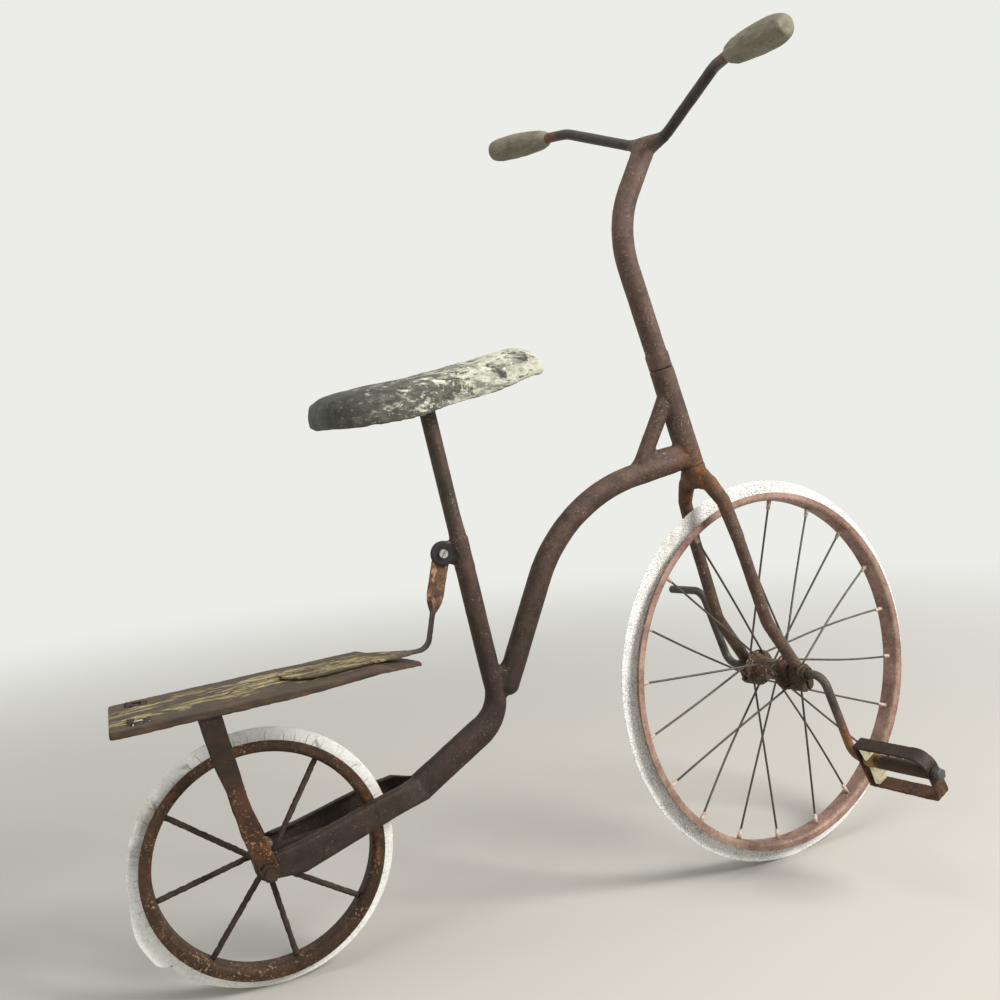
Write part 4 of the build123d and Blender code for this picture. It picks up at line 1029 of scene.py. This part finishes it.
def rear_plug(made):
    """Fills the thin rear of the shell, so that smoothing can't wear it through."""
    plug = bmesh.new()
    rear = [vert.co.copy() for vert in made.verts if vert.co.x < -0.040]
    middle = sum(rear, Vector()) / len(rear)
    for place in rear:
        plug.verts.new(middle + (place - middle) * 0.95)
    hull = bmesh.ops.convex_hull(plug, input=plug.verts)
    bmesh.ops.delete(plug, geom=hull["geom_interior"], context="VERTS")
    merge_into(made, plug)


def step_up(value, low, high):
    """Smooth step from zero to one."""
    share = min(1.0, max(0.0, (value - low) / (high - low)))
    return share * share * (3 - 2 * share)


def fill_nose(made):
    """Gives the nose back what smoothing took, and more depth below."""
    for vert in made.verts:
        below = min(1.0, max(0.0, (TOP_SLOPE * vert.co.x - vert.co.z) / 0.030))
        vert.co += vert.normal * NOSE_SWELL * step_up(vert.co.x, 0.080, 0.130)
        vert.co.z -= NOSE_DROP * below * step_up(vert.co.x, 0.030, 0.125)
    smooth(made, [vert for vert in made.verts if vert.co.x > 0.10], 8)
    smooth(made, [vert for vert in made.verts if vert.co.x < -0.03], 8)


weathered(
    "saddle_shell", ("saddle",), "frame", saddle_coat, "saddle_cover", voxel=0.0014,
    extra=rear_plug, lump=(0.0007, 0.022), even=6, reshape=fill_nose, seed=9.1,
)

# %% [markdown]
# ## Grips
# Each grip is a moulded rubber sleeve, fuller in its belly than a cone and blunt at its end. A subdivided
# cylinder would do, but a profile is easier to match: its shares of the length and its radii are spun
# round the Z axis and then laid on the handlebar's end.

# %% Grips
GRIP_PROFILE = (
    (-0.01, 0), (-0.01, 6.8), (0.03, 8.8), (0.14, 11.3), (0.34, 13.0), (0.58, 13.7), (0.78, 13.4),
    (0.90, 12.4), (0.960, 10.7), (0.992, 8.6), (1.000, 7.0), (1.001, 0),
)


def grip_on(root, tip):
    """A function that adds a grip between two places on the steering."""
    def flesh(made):
        place = on_steering(*root)
        run = on_steering(*tip) - place
        line = [(share * run.length, radius / 1000) for share, radius in GRIP_PROFILE]
        lathe(made, line, laid(place, run))
    return flesh


grip_rubber = coat("grip_rubber", "grip")
for side, root, tip in (
    ("right", (60.3, -147, 593.2), (47.3, -227, 589.7)),
    ("left", (67.3, 147, 608.2), (47.3, 227, 622.0)),
):
    weathered(
        "soft_grip_" + side, ("grip_" + side,), "steering", grip_rubber, "grip_rubber",
        voxel=0.0009, copies=(), extra=grip_on(root, tip), lump=(0.0006, 0.016), even=4, seed=6.4,
    )

# %% [markdown]
# ## Tyres
# Both tyres are solid white rubber. A torus would do for a new one. Here a small circle is spun round the
# axle, so that there are enough sections to cut cracks into, and its skin gets faint lumps.
# The front one is covered in fine grey crackle; the rear one has deeper cracks across it, cut into the
# mesh, and a split low at the back, where the rubber has lifted from its rim.

# %% Spun ring
TYRE_HALF = 0.0095
TYRE_SKIN = 0.0002


def spun_ring(radius, section, steps, sides, centre, axis):
    """A ring of round section about a wheel's axis."""
    made = bmesh.new()
    upright = Matrix.Rotation(math.pi / 2, 4, "X")
    bmesh.ops.create_circle(made, segments=sides, radius=section, matrix=upright)
    bmesh.ops.translate(made, vec=(radius, 0, 0), verts=made.verts)
    bmesh.ops.spin(
        made, geom=made.verts[:] + made.edges[:], cent=(0, 0, 0), axis=(0, 1, 0), angle=2 * math.pi,
        steps=steps, use_merge=True,
    )
    seal(made)
    ahead = axis.cross(Vector((0, 0, 1))).normalized()
    turn = Matrix((ahead, axis, ahead.cross(axis))).transposed()
    bmesh.ops.transform(made, matrix=Matrix.Translation(centre) @ turn.to_4x4(), verts=made.verts)
    return made


print("tyres are", 2000 * TYRE_HALF, "mm thick")

# %% White rubber
DUST = linear(170, 170, 162)
FINE_LINE = linear(150, 150, 141)
DEEP_CRACK = linear(74, 66, 54)
SOIL = linear(132, 122, 104)
GRIME = linear(166, 162, 150)


def to_cell_edge(tree, vector, scale):
    """The distance to the nearest edge between the cells of a pattern."""
    cells = add(tree, "ShaderNodeTexVoronoi", {"feature": "DISTANCE_TO_EDGE"}, Vector=vector, Scale=scale)
    return cells.outputs["Distance"]


def rubber(name, base, centre, axis, radius, lines, cracks, dirt, soiled):
    """White rubber: fine lines (scale, width, share), cracks near the rim (spread, width, share), how much
    dirt lies on it, and a soiled stretch (first and last angle, share)."""
    material, tree, shader, here = new_material(name)
    space = wheel_space(tree, here, centre, axis, radius)
    flat = space.outputs["Vector"]
    scale, line_width, line_share = lines
    patchy = between(tree, grain(tree, here, 40.0, 6.0, 0.7), 0.34, 0.60, 0.35, 1.0)
    crackle = times(tree, between(tree, to_cell_edge(tree, here, scale), line_width, 0.0), patchy)
    crackle = times(tree, crackle, line_share)
    speckle = times(
        tree, between(tree, grain(tree, here, 700.0, 4.0, 0.7), 0.48, 0.60),
        between(tree, grain(tree, here, 24.0, 3.0), 0.40, 0.62, 0.3, 1.0),
    )
    spread, width, share = cracks
    long_cells = add(tree, "ShaderNodeMapping", Vector=flat, Scale=(1.0, 0.16, 0.16)).outputs[0]
    across = to_cell_edge(tree, long_cells, spread)
    by_rim = between(tree, space.outputs["Out"], radius - 0.002, radius - 0.008)
    crack = times(tree, between(tree, across, width, width * 0.2), by_rim)
    crack = times(tree, crack, share)
    colour = tint(tree, times(tree, speckle, dirt), linear(*base), DUST)
    colour = tint(tree, crackle, colour, FINE_LINE)
    colour = tint(tree, crack, colour, DEEP_CRACK)
    first, last, amount = soiled
    turned = space.outputs["Angle"]
    stretch = times(
        tree, between(tree, turned, first - 0.12, first + 0.12),
        between(tree, turned, last + 0.12, last - 0.12),
    )
    blotch = between(tree, grain(tree, here, 60.0, 8.0, 0.74), 0.40, 0.58, 0.25, 1.0)
    stretch = times(tree, times(tree, stretch, blotch), amount)
    colour = tint(tree, stretch, colour, SOIL)
    grime = between(tree, grain(tree, here, 11.0, 5.0, 0.6), 0.60, 0.78, 0.0, 0.25)
    colour = tint(tree, grime, colour, GRIME)
    tree.links.new(colour, shader.inputs["Base Color"])
    tree.links.new(between(tree, speckle, 0.0, 1.0, 0.52, 0.74), shader.inputs["Roughness"])
    deep = calc(tree, "MULTIPLY_ADD", crackle, -0.9, times(tree, crack, -1.0))
    deep = calc(tree, "MULTIPLY_ADD", speckle, -0.4, deep)
    bump(tree, shader, deep, strength=0.8, distance_mm=0.6)
    return material


print("helpers: to_cell_edge, rubber")

# %% Front tyre
front_rubber = rubber(
    "front_tyre_rubber", (236, 236, 233), front_centre, front_axis, FRONT_RADIUS,
    lines=(300.0, 0.13, 0.75), cracks=(12.0, 0.004, 0.0), dirt=0.18, soiled=(2.05, 2.30, 0.5),
)
made = spun_ring(
    FRONT_RADIUS - TYRE_HALF, TYRE_HALF - TYRE_SKIN, steps=480, sides=28, centre=front_centre,
    axis=front_axis,
)
lumps(made, depth=0.0003, size=0.02, seed=2.0)
finish_piece("front_tyre_ring", made, "front_wheel", front_rubber, "white_rubber", "front_tyre")

# %% Rear rubber and its split
# The rear rubber's base is whiter than the front's as painted light: it makes up for the key lamp lighting
# the rear wheel less.
rear_rubber = rubber(
    "rear_tyre_rubber", (250, 250, 244), rear_centre, rear_axis, REAR_RADIUS,
    lines=(250.0, 0.07, 0.32), cracks=(62.0, 0.022, 0.55), dirt=0.08, soiled=(2.45, 3.0, 0.5),
)
SPLIT_AT = 221.0
LIFT_FROM = 183.0
LIFT_TO = 258.0
LIFT_BEFORE = 0.0070
LIFT_DIP = 0.0030
LIFT_AFTER = 0.0040


def fullness(degrees):
    """How much thicker or thinner than new the rubber is at an angle round the wheel."""
    if degrees < SPLIT_AT:
        return 1 + 0.14 * step_up(degrees, 188, 212) - 0.10 * step_up(degrees, 217, SPLIT_AT)
    return 1 - 0.16 * (1 - step_up(degrees, SPLIT_AT + 4, LIFT_TO))


def lift(degrees):
    """How far the tyre stands off its rim, in metres, inside the wheel's old square outline."""
    if degrees < SPLIT_AT:
        height = LIFT_BEFORE * step_up(degrees, LIFT_FROM, 206)
        height -= LIFT_DIP * step_up(degrees, 216, SPLIT_AT)
    else:
        height = LIFT_AFTER * (1 - step_up(degrees, SPLIT_AT + 6, LIFT_TO))
    reach = max(abs(math.cos(math.radians(degrees))), abs(math.sin(math.radians(degrees))))
    room = REAR_RADIUS / reach - REAR_RADIUS
    extra = TYRE_HALF * max(0.0, fullness(degrees) - 1)
    return max(0.0, min(height, room - extra))


print("the rear tyre is split at", SPLIT_AT, "degrees")

# %% Rear tyre, cracked and lifted from its rim
BACK_FROM, BACK_TO = 150, 300
CRACK_HALF = 0.0011
CRACK_DEPTH = 0.0007
SPLIT_HALF = 0.9
SPLIT_SHARE = 0.34
SEAM_DEPTH = 0.0024
made = spun_ring(
    REAR_RADIUS - TYRE_HALF, TYRE_HALF - TYRE_SKIN, steps=900, sides=44, centre=rear_centre,
    axis=rear_axis,
)
draw = random.Random(11)
cuts = [(draw.uniform(0, 360), draw.uniform(0.4, 1.0)) for _ in range(64)]
for vert in made.verts:
    offset = vert.co - rear_centre
    angle = math.degrees(math.atan2(offset.z, offset.x)) % 360
    out = Vector((offset.x, 0, offset.z)).normalized()
    core = rear_centre + out * (REAR_RADIUS - TYRE_HALF)
    radial = (vert.co - core).dot(out)
    apart, size = min((abs(angle - at), size) for at, size in cuts)
    depth = max(0.0, 1 - math.radians(apart) * REAR_RADIUS / CRACK_HALF) * size
    inner_side = step_up(-radial, -0.004, 0.002)
    torn_at = SPLIT_AT + 1.6 * offset.y / TYRE_HALF + 0.5 * noise.noise(vert.co * 400)
    split = max(0.0, 1 - abs(angle - torn_at) / SPLIT_HALF)
    at_back = BACK_FROM < angle < BACK_TO
    full = fullness(angle) if at_back else 1.0
    raised = lift(angle) if at_back else 0.0
    vert.co = core + (vert.co - core) * (full - SPLIT_SHARE * split) + out * raised
    vert.co -= vert.normal * CRACK_DEPTH * depth * inner_side
    seam = math.exp(-((radial + 0.001) / 0.0016) ** 2) * step_up(angle, 176, 190) * (angle < SPLIT_AT)
    if offset.y < 0:
        vert.co.y += SEAM_DEPTH * seam
lumps(made, depth=0.0003, size=0.013, seed=8.0)
finish_piece("rear_tyre_ring", made, "rear_wheel", rear_rubber, "white_rubber", "rear_tyre")

# %% [markdown]
# ## Front spokes and nipples
# Twenty wire spokes run from hub flange to rim, crossing in pairs, and none is quite straight any more.
# Copies of one spoke would all be perfect, so each is a thin rod of its own with a slight bow. The paler
# tubes at their rim ends are the nipples.

# %% Front spokes and nipples
SPOKES = 20
AXLE_FORWARD = 20.8
RIM_FLOOR = 178.8
FLANGE_HOLES_R = 15.5
FLANGE_Y = 21.0
FLANGE_STEP = 2.5
FIRST_SPOKE = -3.0
PEG_REACH = 4.6
SPOKE_R = 1.15
NIPPLE_LONG = 0.0100
LACING_LEAD = 48.0
BOWED = {0: 2.6, 1: 2.2, 19: -1.6, 16: 1.8, 12: -2.0}


def at_wheel(radius, degrees, left=0.0):
    """A place on the front wheel by its distance and angle round the axle."""
    angle = math.radians(degrees)
    return on_steering(AXLE_FORWARD + radius * math.cos(angle), left, radius * math.sin(angle))


draw = random.Random(5)
wires = bmesh.new()
caps = bmesh.new()
for number in range(SPOKES):
    side = 1 if number % 2 == 0 else -1
    lead = -1 if number % 4 in (1, 2) else 1
    turned = number * 360 / SPOKES + FIRST_SPOKE
    face = side * (FLANGE_Y + lead * FLANGE_STEP)
    root = at_wheel(FLANGE_HOLES_R, turned + lead * LACING_LEAD, face)
    peg = at_wheel(FLANGE_HOLES_R, turned + lead * LACING_LEAD, face - side * lead * PEG_REACH)
    tip = at_wheel(RIM_FLOOR + 1.0, turned)
    run = tip - root
    bow = BOWED.get(number, draw.uniform(-1.0, 1.0)) / 1000
    sideways = run.cross(front_axis).normalized()
    points = [peg, root, root + run * 0.04, root + run * 0.62 + sideways * bow * 2, tip]
    rod(wires, points, SPOKE_R, steps=8, roundness=2)
    limb(caps, tip, tip - run.normalized() * NIPPLE_LONG, start_r=2.5, end_r=2.0)
finish_piece("laced_spokes", wires, "front_wheel", steel["spoke"], "dark_steel", "front_spokes")
finish_piece("spoke_nipples", caps, "front_wheel", steel["nipple"], "dark_steel")

# %% [markdown]
# ## Rear spokes
# The rear wheel has eight stout rods, rusted until they are lumpy. A bump in the material would leave
# their outline straight, so one skin over the CAD rods gets deep lumps in its mesh.

# %% Rear spokes
weathered(
    "rusty_rods", ("rear_spokes",), "rear_wheel", steel["rear_spoke"], "dark_steel", voxel=0.0007,
    lump=(0.0005, 0.0035), seed=12.5,
)

# %% [markdown]
# ## Pedal
# The pedal is one strip of iron bent to a U, with a cross plate at its inner end. A barrel turns on the
# spindle inside it, and two broken wedges of a cream-coloured block are still stuck between plate, strip
# and barrel. A hexagon bolt head closes the outer end. Strip and plate keep their CAD shape under a thin
# skin; the turned barrel is a spun profile, and the wedges are outlines that are extruded and bevelled.

# %% Pedal
PEDAL_TILT = math.radians(10)
PEDAL_MIDDLE_Y = 140.0
PLATE_Y = 101.0
pedal_out = -front_axis
pedal_up = (steer_axis * math.cos(PEDAL_TILT) - steer_ahead * math.sin(PEDAL_TILT)).normalized()
pedal_ahead = pedal_up.cross(pedal_out)


def on_pedal(out, up, ahead=0.0):
    """A place on the pedal, from the spindle's line at the plate's outer face, in millimetres."""
    start = pedal_centre + pedal_out * (PLATE_Y - PEDAL_MIDDLE_Y) / 1000
    return start + (pedal_out * out + pedal_up * up + pedal_ahead * ahead) / 1000


def lower_arm(tree, here):
    """One on the lower arm of the strip, zero on the upper one."""
    offset = on_vectors(tree, "SUBTRACT", here, pedal_centre)
    return between(tree, on_vectors(tree, "DOT_PRODUCT", offset, pedal_up), 0.0, -0.010)


pedal_metal = metal("pedal_metal", "pedal", ("pedal_low", lower_arm))
weathered(
    "pedal_strip", ("pedal_frame", "pedal_plate"), "pedal", pedal_metal, "pedal_rust", voxel=0.0007,
    melt=(2, 6), lump=(0.0004, 0.009), even=2, seed=3.9,
)

# %% Barrel on the spindle
BARREL = ((0, 4.6), (0, 6.6), (4, 7.6), (9, 7.6), (12, 6.7), (38, 7.0), (74, 6.7), (76, 4.6))


def inner_end(tree, here):
    """The barrel's inner end, where amber glue and plastic are left."""
    return times(tree, mask_near(tree, here, on_pedal(7, 0), 0.009, 0.013), 0.85)


made = bmesh.new()
lathe(made, [(out / 1000, radius / 1000) for out, radius in BARREL], laid(on_pedal(1, 0), pedal_out))
barrel_metal = metal("barrel_metal", "barrel", ("amber", inner_end))
finish_piece("pedal_barrel", made, "pedal", barrel_metal, "pedal_rust")

# %% Broken wedges of the pedal block
cream = coat("broken_block", "cream")
UPPER_WEDGE = ((3.0, 16.8), (17.0, 17.0), (12.0, 8.0), (5.0, 1.0))
LOWER_WEDGE = ((7.0, -3.0), (26.0, -4.0), (17.0, -14.0), (9.5, -25.6), (4.0, -25.0))
WEDGE_BACK = -6.5
WEDGE_THICK = 0.012
wedges = bmesh.new()
for outline in (UPPER_WEDGE, LOWER_WEDGE):
    corners = [wedges.verts.new(on_pedal(out, up, WEDGE_BACK)) for out, up in outline]
    face = wedges.faces.new(corners)
    grown = bmesh.ops.extrude_face_region(wedges, geom=[face])
    moved = [item for item in grown["geom"] if isinstance(item, bmesh.types.BMVert)]
    bmesh.ops.translate(wedges, vec=pedal_ahead * WEDGE_THICK, verts=moved)
bmesh.ops.recalc_face_normals(wedges, faces=wedges.faces)
soften(wedges, 0.0008)
finish_piece("broken_wedges", wedges, "pedal", cream, "pale_plastic", "pedal_remnants")

# %% Bolt head and its washer
HEAD_R, HEAD_THICK, HEAD_OUT = 0.0062, 0.0060, 85.2
WASHER_R, WASHER_THICK, WASHER_OUT = 0.0070, 0.0012, 81.9
made = bmesh.new()
bmesh.ops.create_cone(
    made, cap_ends=True, segments=6, radius1=HEAD_R, radius2=HEAD_R, depth=HEAD_THICK
)
outer = [face for face in made.faces if face.normal.z > 0.9]
bmesh.ops.inset_region(made, faces=outer, thickness=0.0010, depth=0.0006)
soften(made, 0.0004)
bmesh.ops.transform(made, matrix=laid(on_pedal(HEAD_OUT, 0), pedal_out), verts=made.verts)
finish_piece("bolt_head", made, "front_wheel", steel["bolt"], "dark_steel", "pedal_nut")
made = bmesh.new()
bmesh.ops.create_cone(
    made, cap_ends=True, segments=40, radius1=WASHER_R, radius2=WASHER_R, depth=WASHER_THICK
)
soften(made, 0.0003)
bmesh.ops.transform(made, matrix=laid(on_pedal(WASHER_OUT, 0), pedal_out), verts=made.verts)
finish_piece("dark_washer", made, "front_wheel", steel["barrel"], "dark_steel")

# %% [markdown]
# ## Footboard and strap
# The footboard's cream paint has flaked in long shreds, and moss colours what is left. It is best kept
# down the middle of the tread. The strap's leaf lies on the board in the same coat, and turns to rust
# where the strap climbs. New sheets could be drawn, but the CAD ones fit each other already, so their
# skins are only reshaped: the board's lip gets lower towards its tip, and the leaf's end is rounded.

# %% Shapes of board and leaf
BOARD_REAR = Vector((-0.277, 0, -0.2671))
BOARD_CREST = Vector((-0.048, 0, -0.2537))
BOARD_TIP = Vector((0.002, 0, -0.2639))
SHEET = 0.0021
LIP_LOSS = 0.8
LIP_BITE = 0.12
EDGE_SAG = 0.0008
LEAF_END = -0.131
LEAF_ROUND = 0.024
LEAF_LIFT = 0.0022


def board_top(x):
    """Height of the tread at a place along it."""
    first, last = (BOARD_REAR, BOARD_CREST) if x < BOARD_CREST.x else (BOARD_CREST, BOARD_TIP)
    return first.z + (last.z - first.z) * (x - first.x) / (last.x - first.x)


def lower_lip(made):
    """Makes the lip shallow towards the tip and its edge uneven."""
    for vert in made.verts:
        top = board_top(vert.co.x)
        below = top - SHEET - vert.co.z
        if below > 0:
            share = 1 - LIP_LOSS * step_up(vert.co.x, -0.150, -0.010)
            bite = LIP_BITE * noise.noise(vert.co * 90)
            vert.co.z = top - SHEET - below * (share + min(0.0, bite))
        vert.co.z -= EDGE_SAG * (1 + noise.noise(vert.co * 22)) * step_up(abs(vert.co.y), 0.01, 0.05)


def round_leaf(made):
    """Rounds the rear end of the leaf and lifts it a little."""
    middle = LEAF_END + LEAF_ROUND
    for vert in made.verts:
        share = min(0.995, (middle - vert.co.x) / 0.0245)
        if share > 0:
            vert.co.y *= math.sqrt(1 - share * share)
            vert.co.z += LEAF_LIFT * share * share


print("the tread rises", round((BOARD_CREST.z - BOARD_REAR.z) * 1000, 1), "mm")


# %% Coats of board and strap
def on_tread(tree, here):
    """One down the middle of the tread, where the paint is kept."""
    side = frayed(tree, calc(tree, "ABSOLUTE", part_of(tree, here, Y)), here, 30.0, 0.02)
    middle = between(tree, side, 0.044, 0.026)
    return times(tree, middle, along(tree, here, X, 0.0, -0.09))


def on_leaf(tree, here):
    """One down the middle of the leaf."""
    side = frayed(tree, calc(tree, "ABSOLUTE", part_of(tree, here, Y)), here, 60.0, 0.012)
    return between(tree, side, 0.027, 0.018)


def off_the_board(tree, here):
    """One on the climbing strap, zero on its leaf."""
    return along(tree, here, X, -0.035, 0.005)


board_coat = coat("board_coat", "board", on_tread)
strap_material, tree, shader, here = new_material("strap_coat")
layer = blend_layers(
    tree, off_the_board(tree, here), coat_layer(tree, here, "leaf", on_leaf),
    coat_layer(tree, here, "strap"),
)
stem_of_strap = times(tree, along(tree, here, Z, -0.208, -0.222), off_the_board(tree, here))
layer = blend_layers(tree, stem_of_strap, layer, patina_layer(tree, here, "stay_top"))
wear(tree, shader, layer, COATS["strap"][-1], COAT_RELIEF_MM)
print(board_coat.name, "and", strap_material.name, "are mixed")

# %% Footboard and strap
weathered(
    "pressed_tread", ("footboard",), "frame", board_coat, "board_paint", voxel=0.00095,
    lump=(0.0002, 0.010), reshape=lower_lip, seed=6.6,
)
weathered(
    "strap_band", ("strap",), "frame", strap_material, "strap_rust", voxel=0.0008,
    lump=(0.0002, 0.01), reshape=round_leaf, seed=6.0,
)

# %% [markdown]
# ## Bits of strap in the slots
# Two slots at the rear of the tread once held straps. Short curled bits of rusted band are left in each.
# They could be bent boxes, but a thin curl is easier from a sheet: a subdivided grid is bent and then
# given its thickness.

# %% Bits in the slots
# The bits also make the slots read dark: partly real bits of band, partly painted shade for the shadow
# inside the slots.
SLOT_X = -0.2535
SLOT_Y = 0.033
BIT_LONG = 0.024
BIT_THICK = 0.0009
BIT_CURL = 0.0022
BIT_WAVE = 0.0012
BIT_ARCH = 0.0020
BIT_SINK = 0.0036
BIT_SHAPES = ((-0.0062, 0.0052, 1.0), (0.0004, 0.0060, -0.7), (0.0068, 0.0050, 0.5))
bits = bmesh.new()
for side in (-1, 1):
    for shift, width, bend in BIT_SHAPES:
        strip = bmesh.new()
        bmesh.ops.create_grid(strip, x_segments=2, y_segments=14, size=0.5)
        for vert in strip.verts:
            across, run = vert.co.x * width, vert.co.y
            curl = bend * BIT_CURL * math.sin(run * 5.0)
            x = SLOT_X + shift + across + BIT_WAVE * math.sin(run * 7.0)
            height = board_top(SLOT_X) - BIT_SINK + curl + BIT_ARCH * (1 - 4 * run * run)
            vert.co = Vector((x, side * SLOT_Y + run * BIT_LONG, height))
        bmesh.ops.recalc_face_normals(strip, faces=strip.faces)
        bmesh.ops.solidify(strip, geom=strip.faces[:], thickness=BIT_THICK)
        merge_into(bits, strip)
finish_piece("slot_bits_and_shade", bits, "frame", stay_metal, "strap_rust")

# %% [markdown]
# ## Finishes on the CAD pieces that stay
# The rims, hubs, cranks, nuts and screws already have the right shape, so nothing is gained by modelling
# them again. They keep their CAD mesh and get a finish each, linked to the object and not to its mesh.

# %% Crank finish
def near_pedal(tree, here):
    """Orange rust on the crank's last bend."""
    return mask_near(tree, here, pedal_centre, 0.058, 0.080)


crank_metal = metal("crank_metal", "crank", ("crank_end", near_pedal))
KEPT = {
    "front_rim": steel["front_rim"], "rear_rim": steel["rear_rim"], "front_hub": steel["hub"],
    "rear_hub": steel["hub"], "crank_axle": crank_metal, "steerer": steel["bar"],
    "seat_post": steel["seat_post"], "saddle_pan": steel["pan"], "strap_screw": steel["screw"],
    "rear_axle": steel["block"], "rear_axle_nuts": steel["block"],
}
for name, material in KEPT.items():
    for part_slot in frame["nodes"][name].material_slots:
        part_slot.link = "OBJECT"
        part_slot.material = material
print(len(KEPT), "CAD pieces keep their shape")

# %% [markdown]
# ## Floor and light
# The floor is a wide disc whose far part glows in the colour of the backdrop, so no horizon shows. A
# curved backdrop would hide it too, but from one side only. The world lights everything evenly, a large
# lamp from the front right gives the tubes their round shading, and weaker ones fill the left and the top.

# %% Floor
WALL = linear(236, 237, 232)
FLOOR = linear(184, 181, 174)
floor_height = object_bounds()[0].z
made = bmesh.new()
bmesh.ops.create_circle(made, cap_ends=True, segments=64, radius=12.0)
bmesh.ops.translate(made, vec=(0.15, 0.0, floor_height), verts=made.verts)
floor = as_object("floor", made)
floor_paint, tree, shader, here = new_material("floor_paint")
shader.inputs["Base Color"].default_value = FLOOR
shader.inputs["Roughness"].default_value = 0.85
glow = add(tree, "ShaderNodeEmission", Color=WALL, Strength=1.0)
fade = between(tree, on_vectors(tree, "LENGTH", here), 0.7, 2.4)
mixed = add(tree, "ShaderNodeMixShader", Fac=fade)
tree.links.new(shader.outputs[0], mixed.inputs[1])
tree.links.new(glow.outputs[0], mixed.inputs[2])
tree.links.new(mixed.outputs[0], tree.nodes["Material Output"].inputs["Surface"])
floor.data.materials.append(floor_paint)
print("floor at", round(floor_height, 4))

# %% World and lamps
world = bpy.data.worlds.new("studio")
bpy.context.scene.world = world
world.use_nodes = True
tree = world.node_tree
lit = tree.nodes["Background"]
lit.inputs["Color"].default_value = (1.0, 0.98, 0.95, 1.0)
lit.inputs["Strength"].default_value = 0.36
seen = add(tree, "ShaderNodeBackground", Color=WALL, Strength=1.0)
path = tree.nodes.new("ShaderNodeLightPath")
direct = calc(tree, "ADD", path.outputs["Is Camera Ray"], path.outputs["Is Glossy Ray"])
direct = calc(tree, "ADD", direct, path.outputs["Is Transmission Ray"])
pick = add(tree, "ShaderNodeMixShader", Fac=direct)
tree.links.new(lit.outputs[0], pick.inputs[1])
tree.links.new(seen.outputs[0], pick.inputs[2])
tree.links.new(pick.outputs[0], tree.nodes["World Output"].inputs["Surface"])

# each lamp: name, place, size in metres, power in watts, colour
LAMPS = [
    ("key", (1.85, -1.62, 1.36), 1.1, 108.0, (1.0, 0.98, 0.95)),
    ("fill", (-1.8, -1.2, 0.6), 1.4, 8.0, (0.94, 0.97, 1.0)),
    ("top", (-0.35, -0.25, 1.7), 1.4, 19.0, (1.0, 1.0, 1.0)),
]
TARGET = Vector((0.15, 0.0, -0.2))
for name, place, size, power, glow_colour in LAMPS:
    lamp = bpy.data.lights.new(name, "AREA")
    lamp.size = size
    lamp.energy = power
    lamp.color = glow_colour
    thing = bpy.data.objects.new(name, lamp)
    aim = (TARGET - Vector(place)).to_track_quat("-Z", "Y").to_matrix().to_4x4()
    thing.matrix_world = Matrix.Translation(place) @ aim
    bpy.context.collection.objects.link(thing)
bpy.context.scene.view_settings.view_transform = "Standard"
print(len(LAMPS), "lamps")
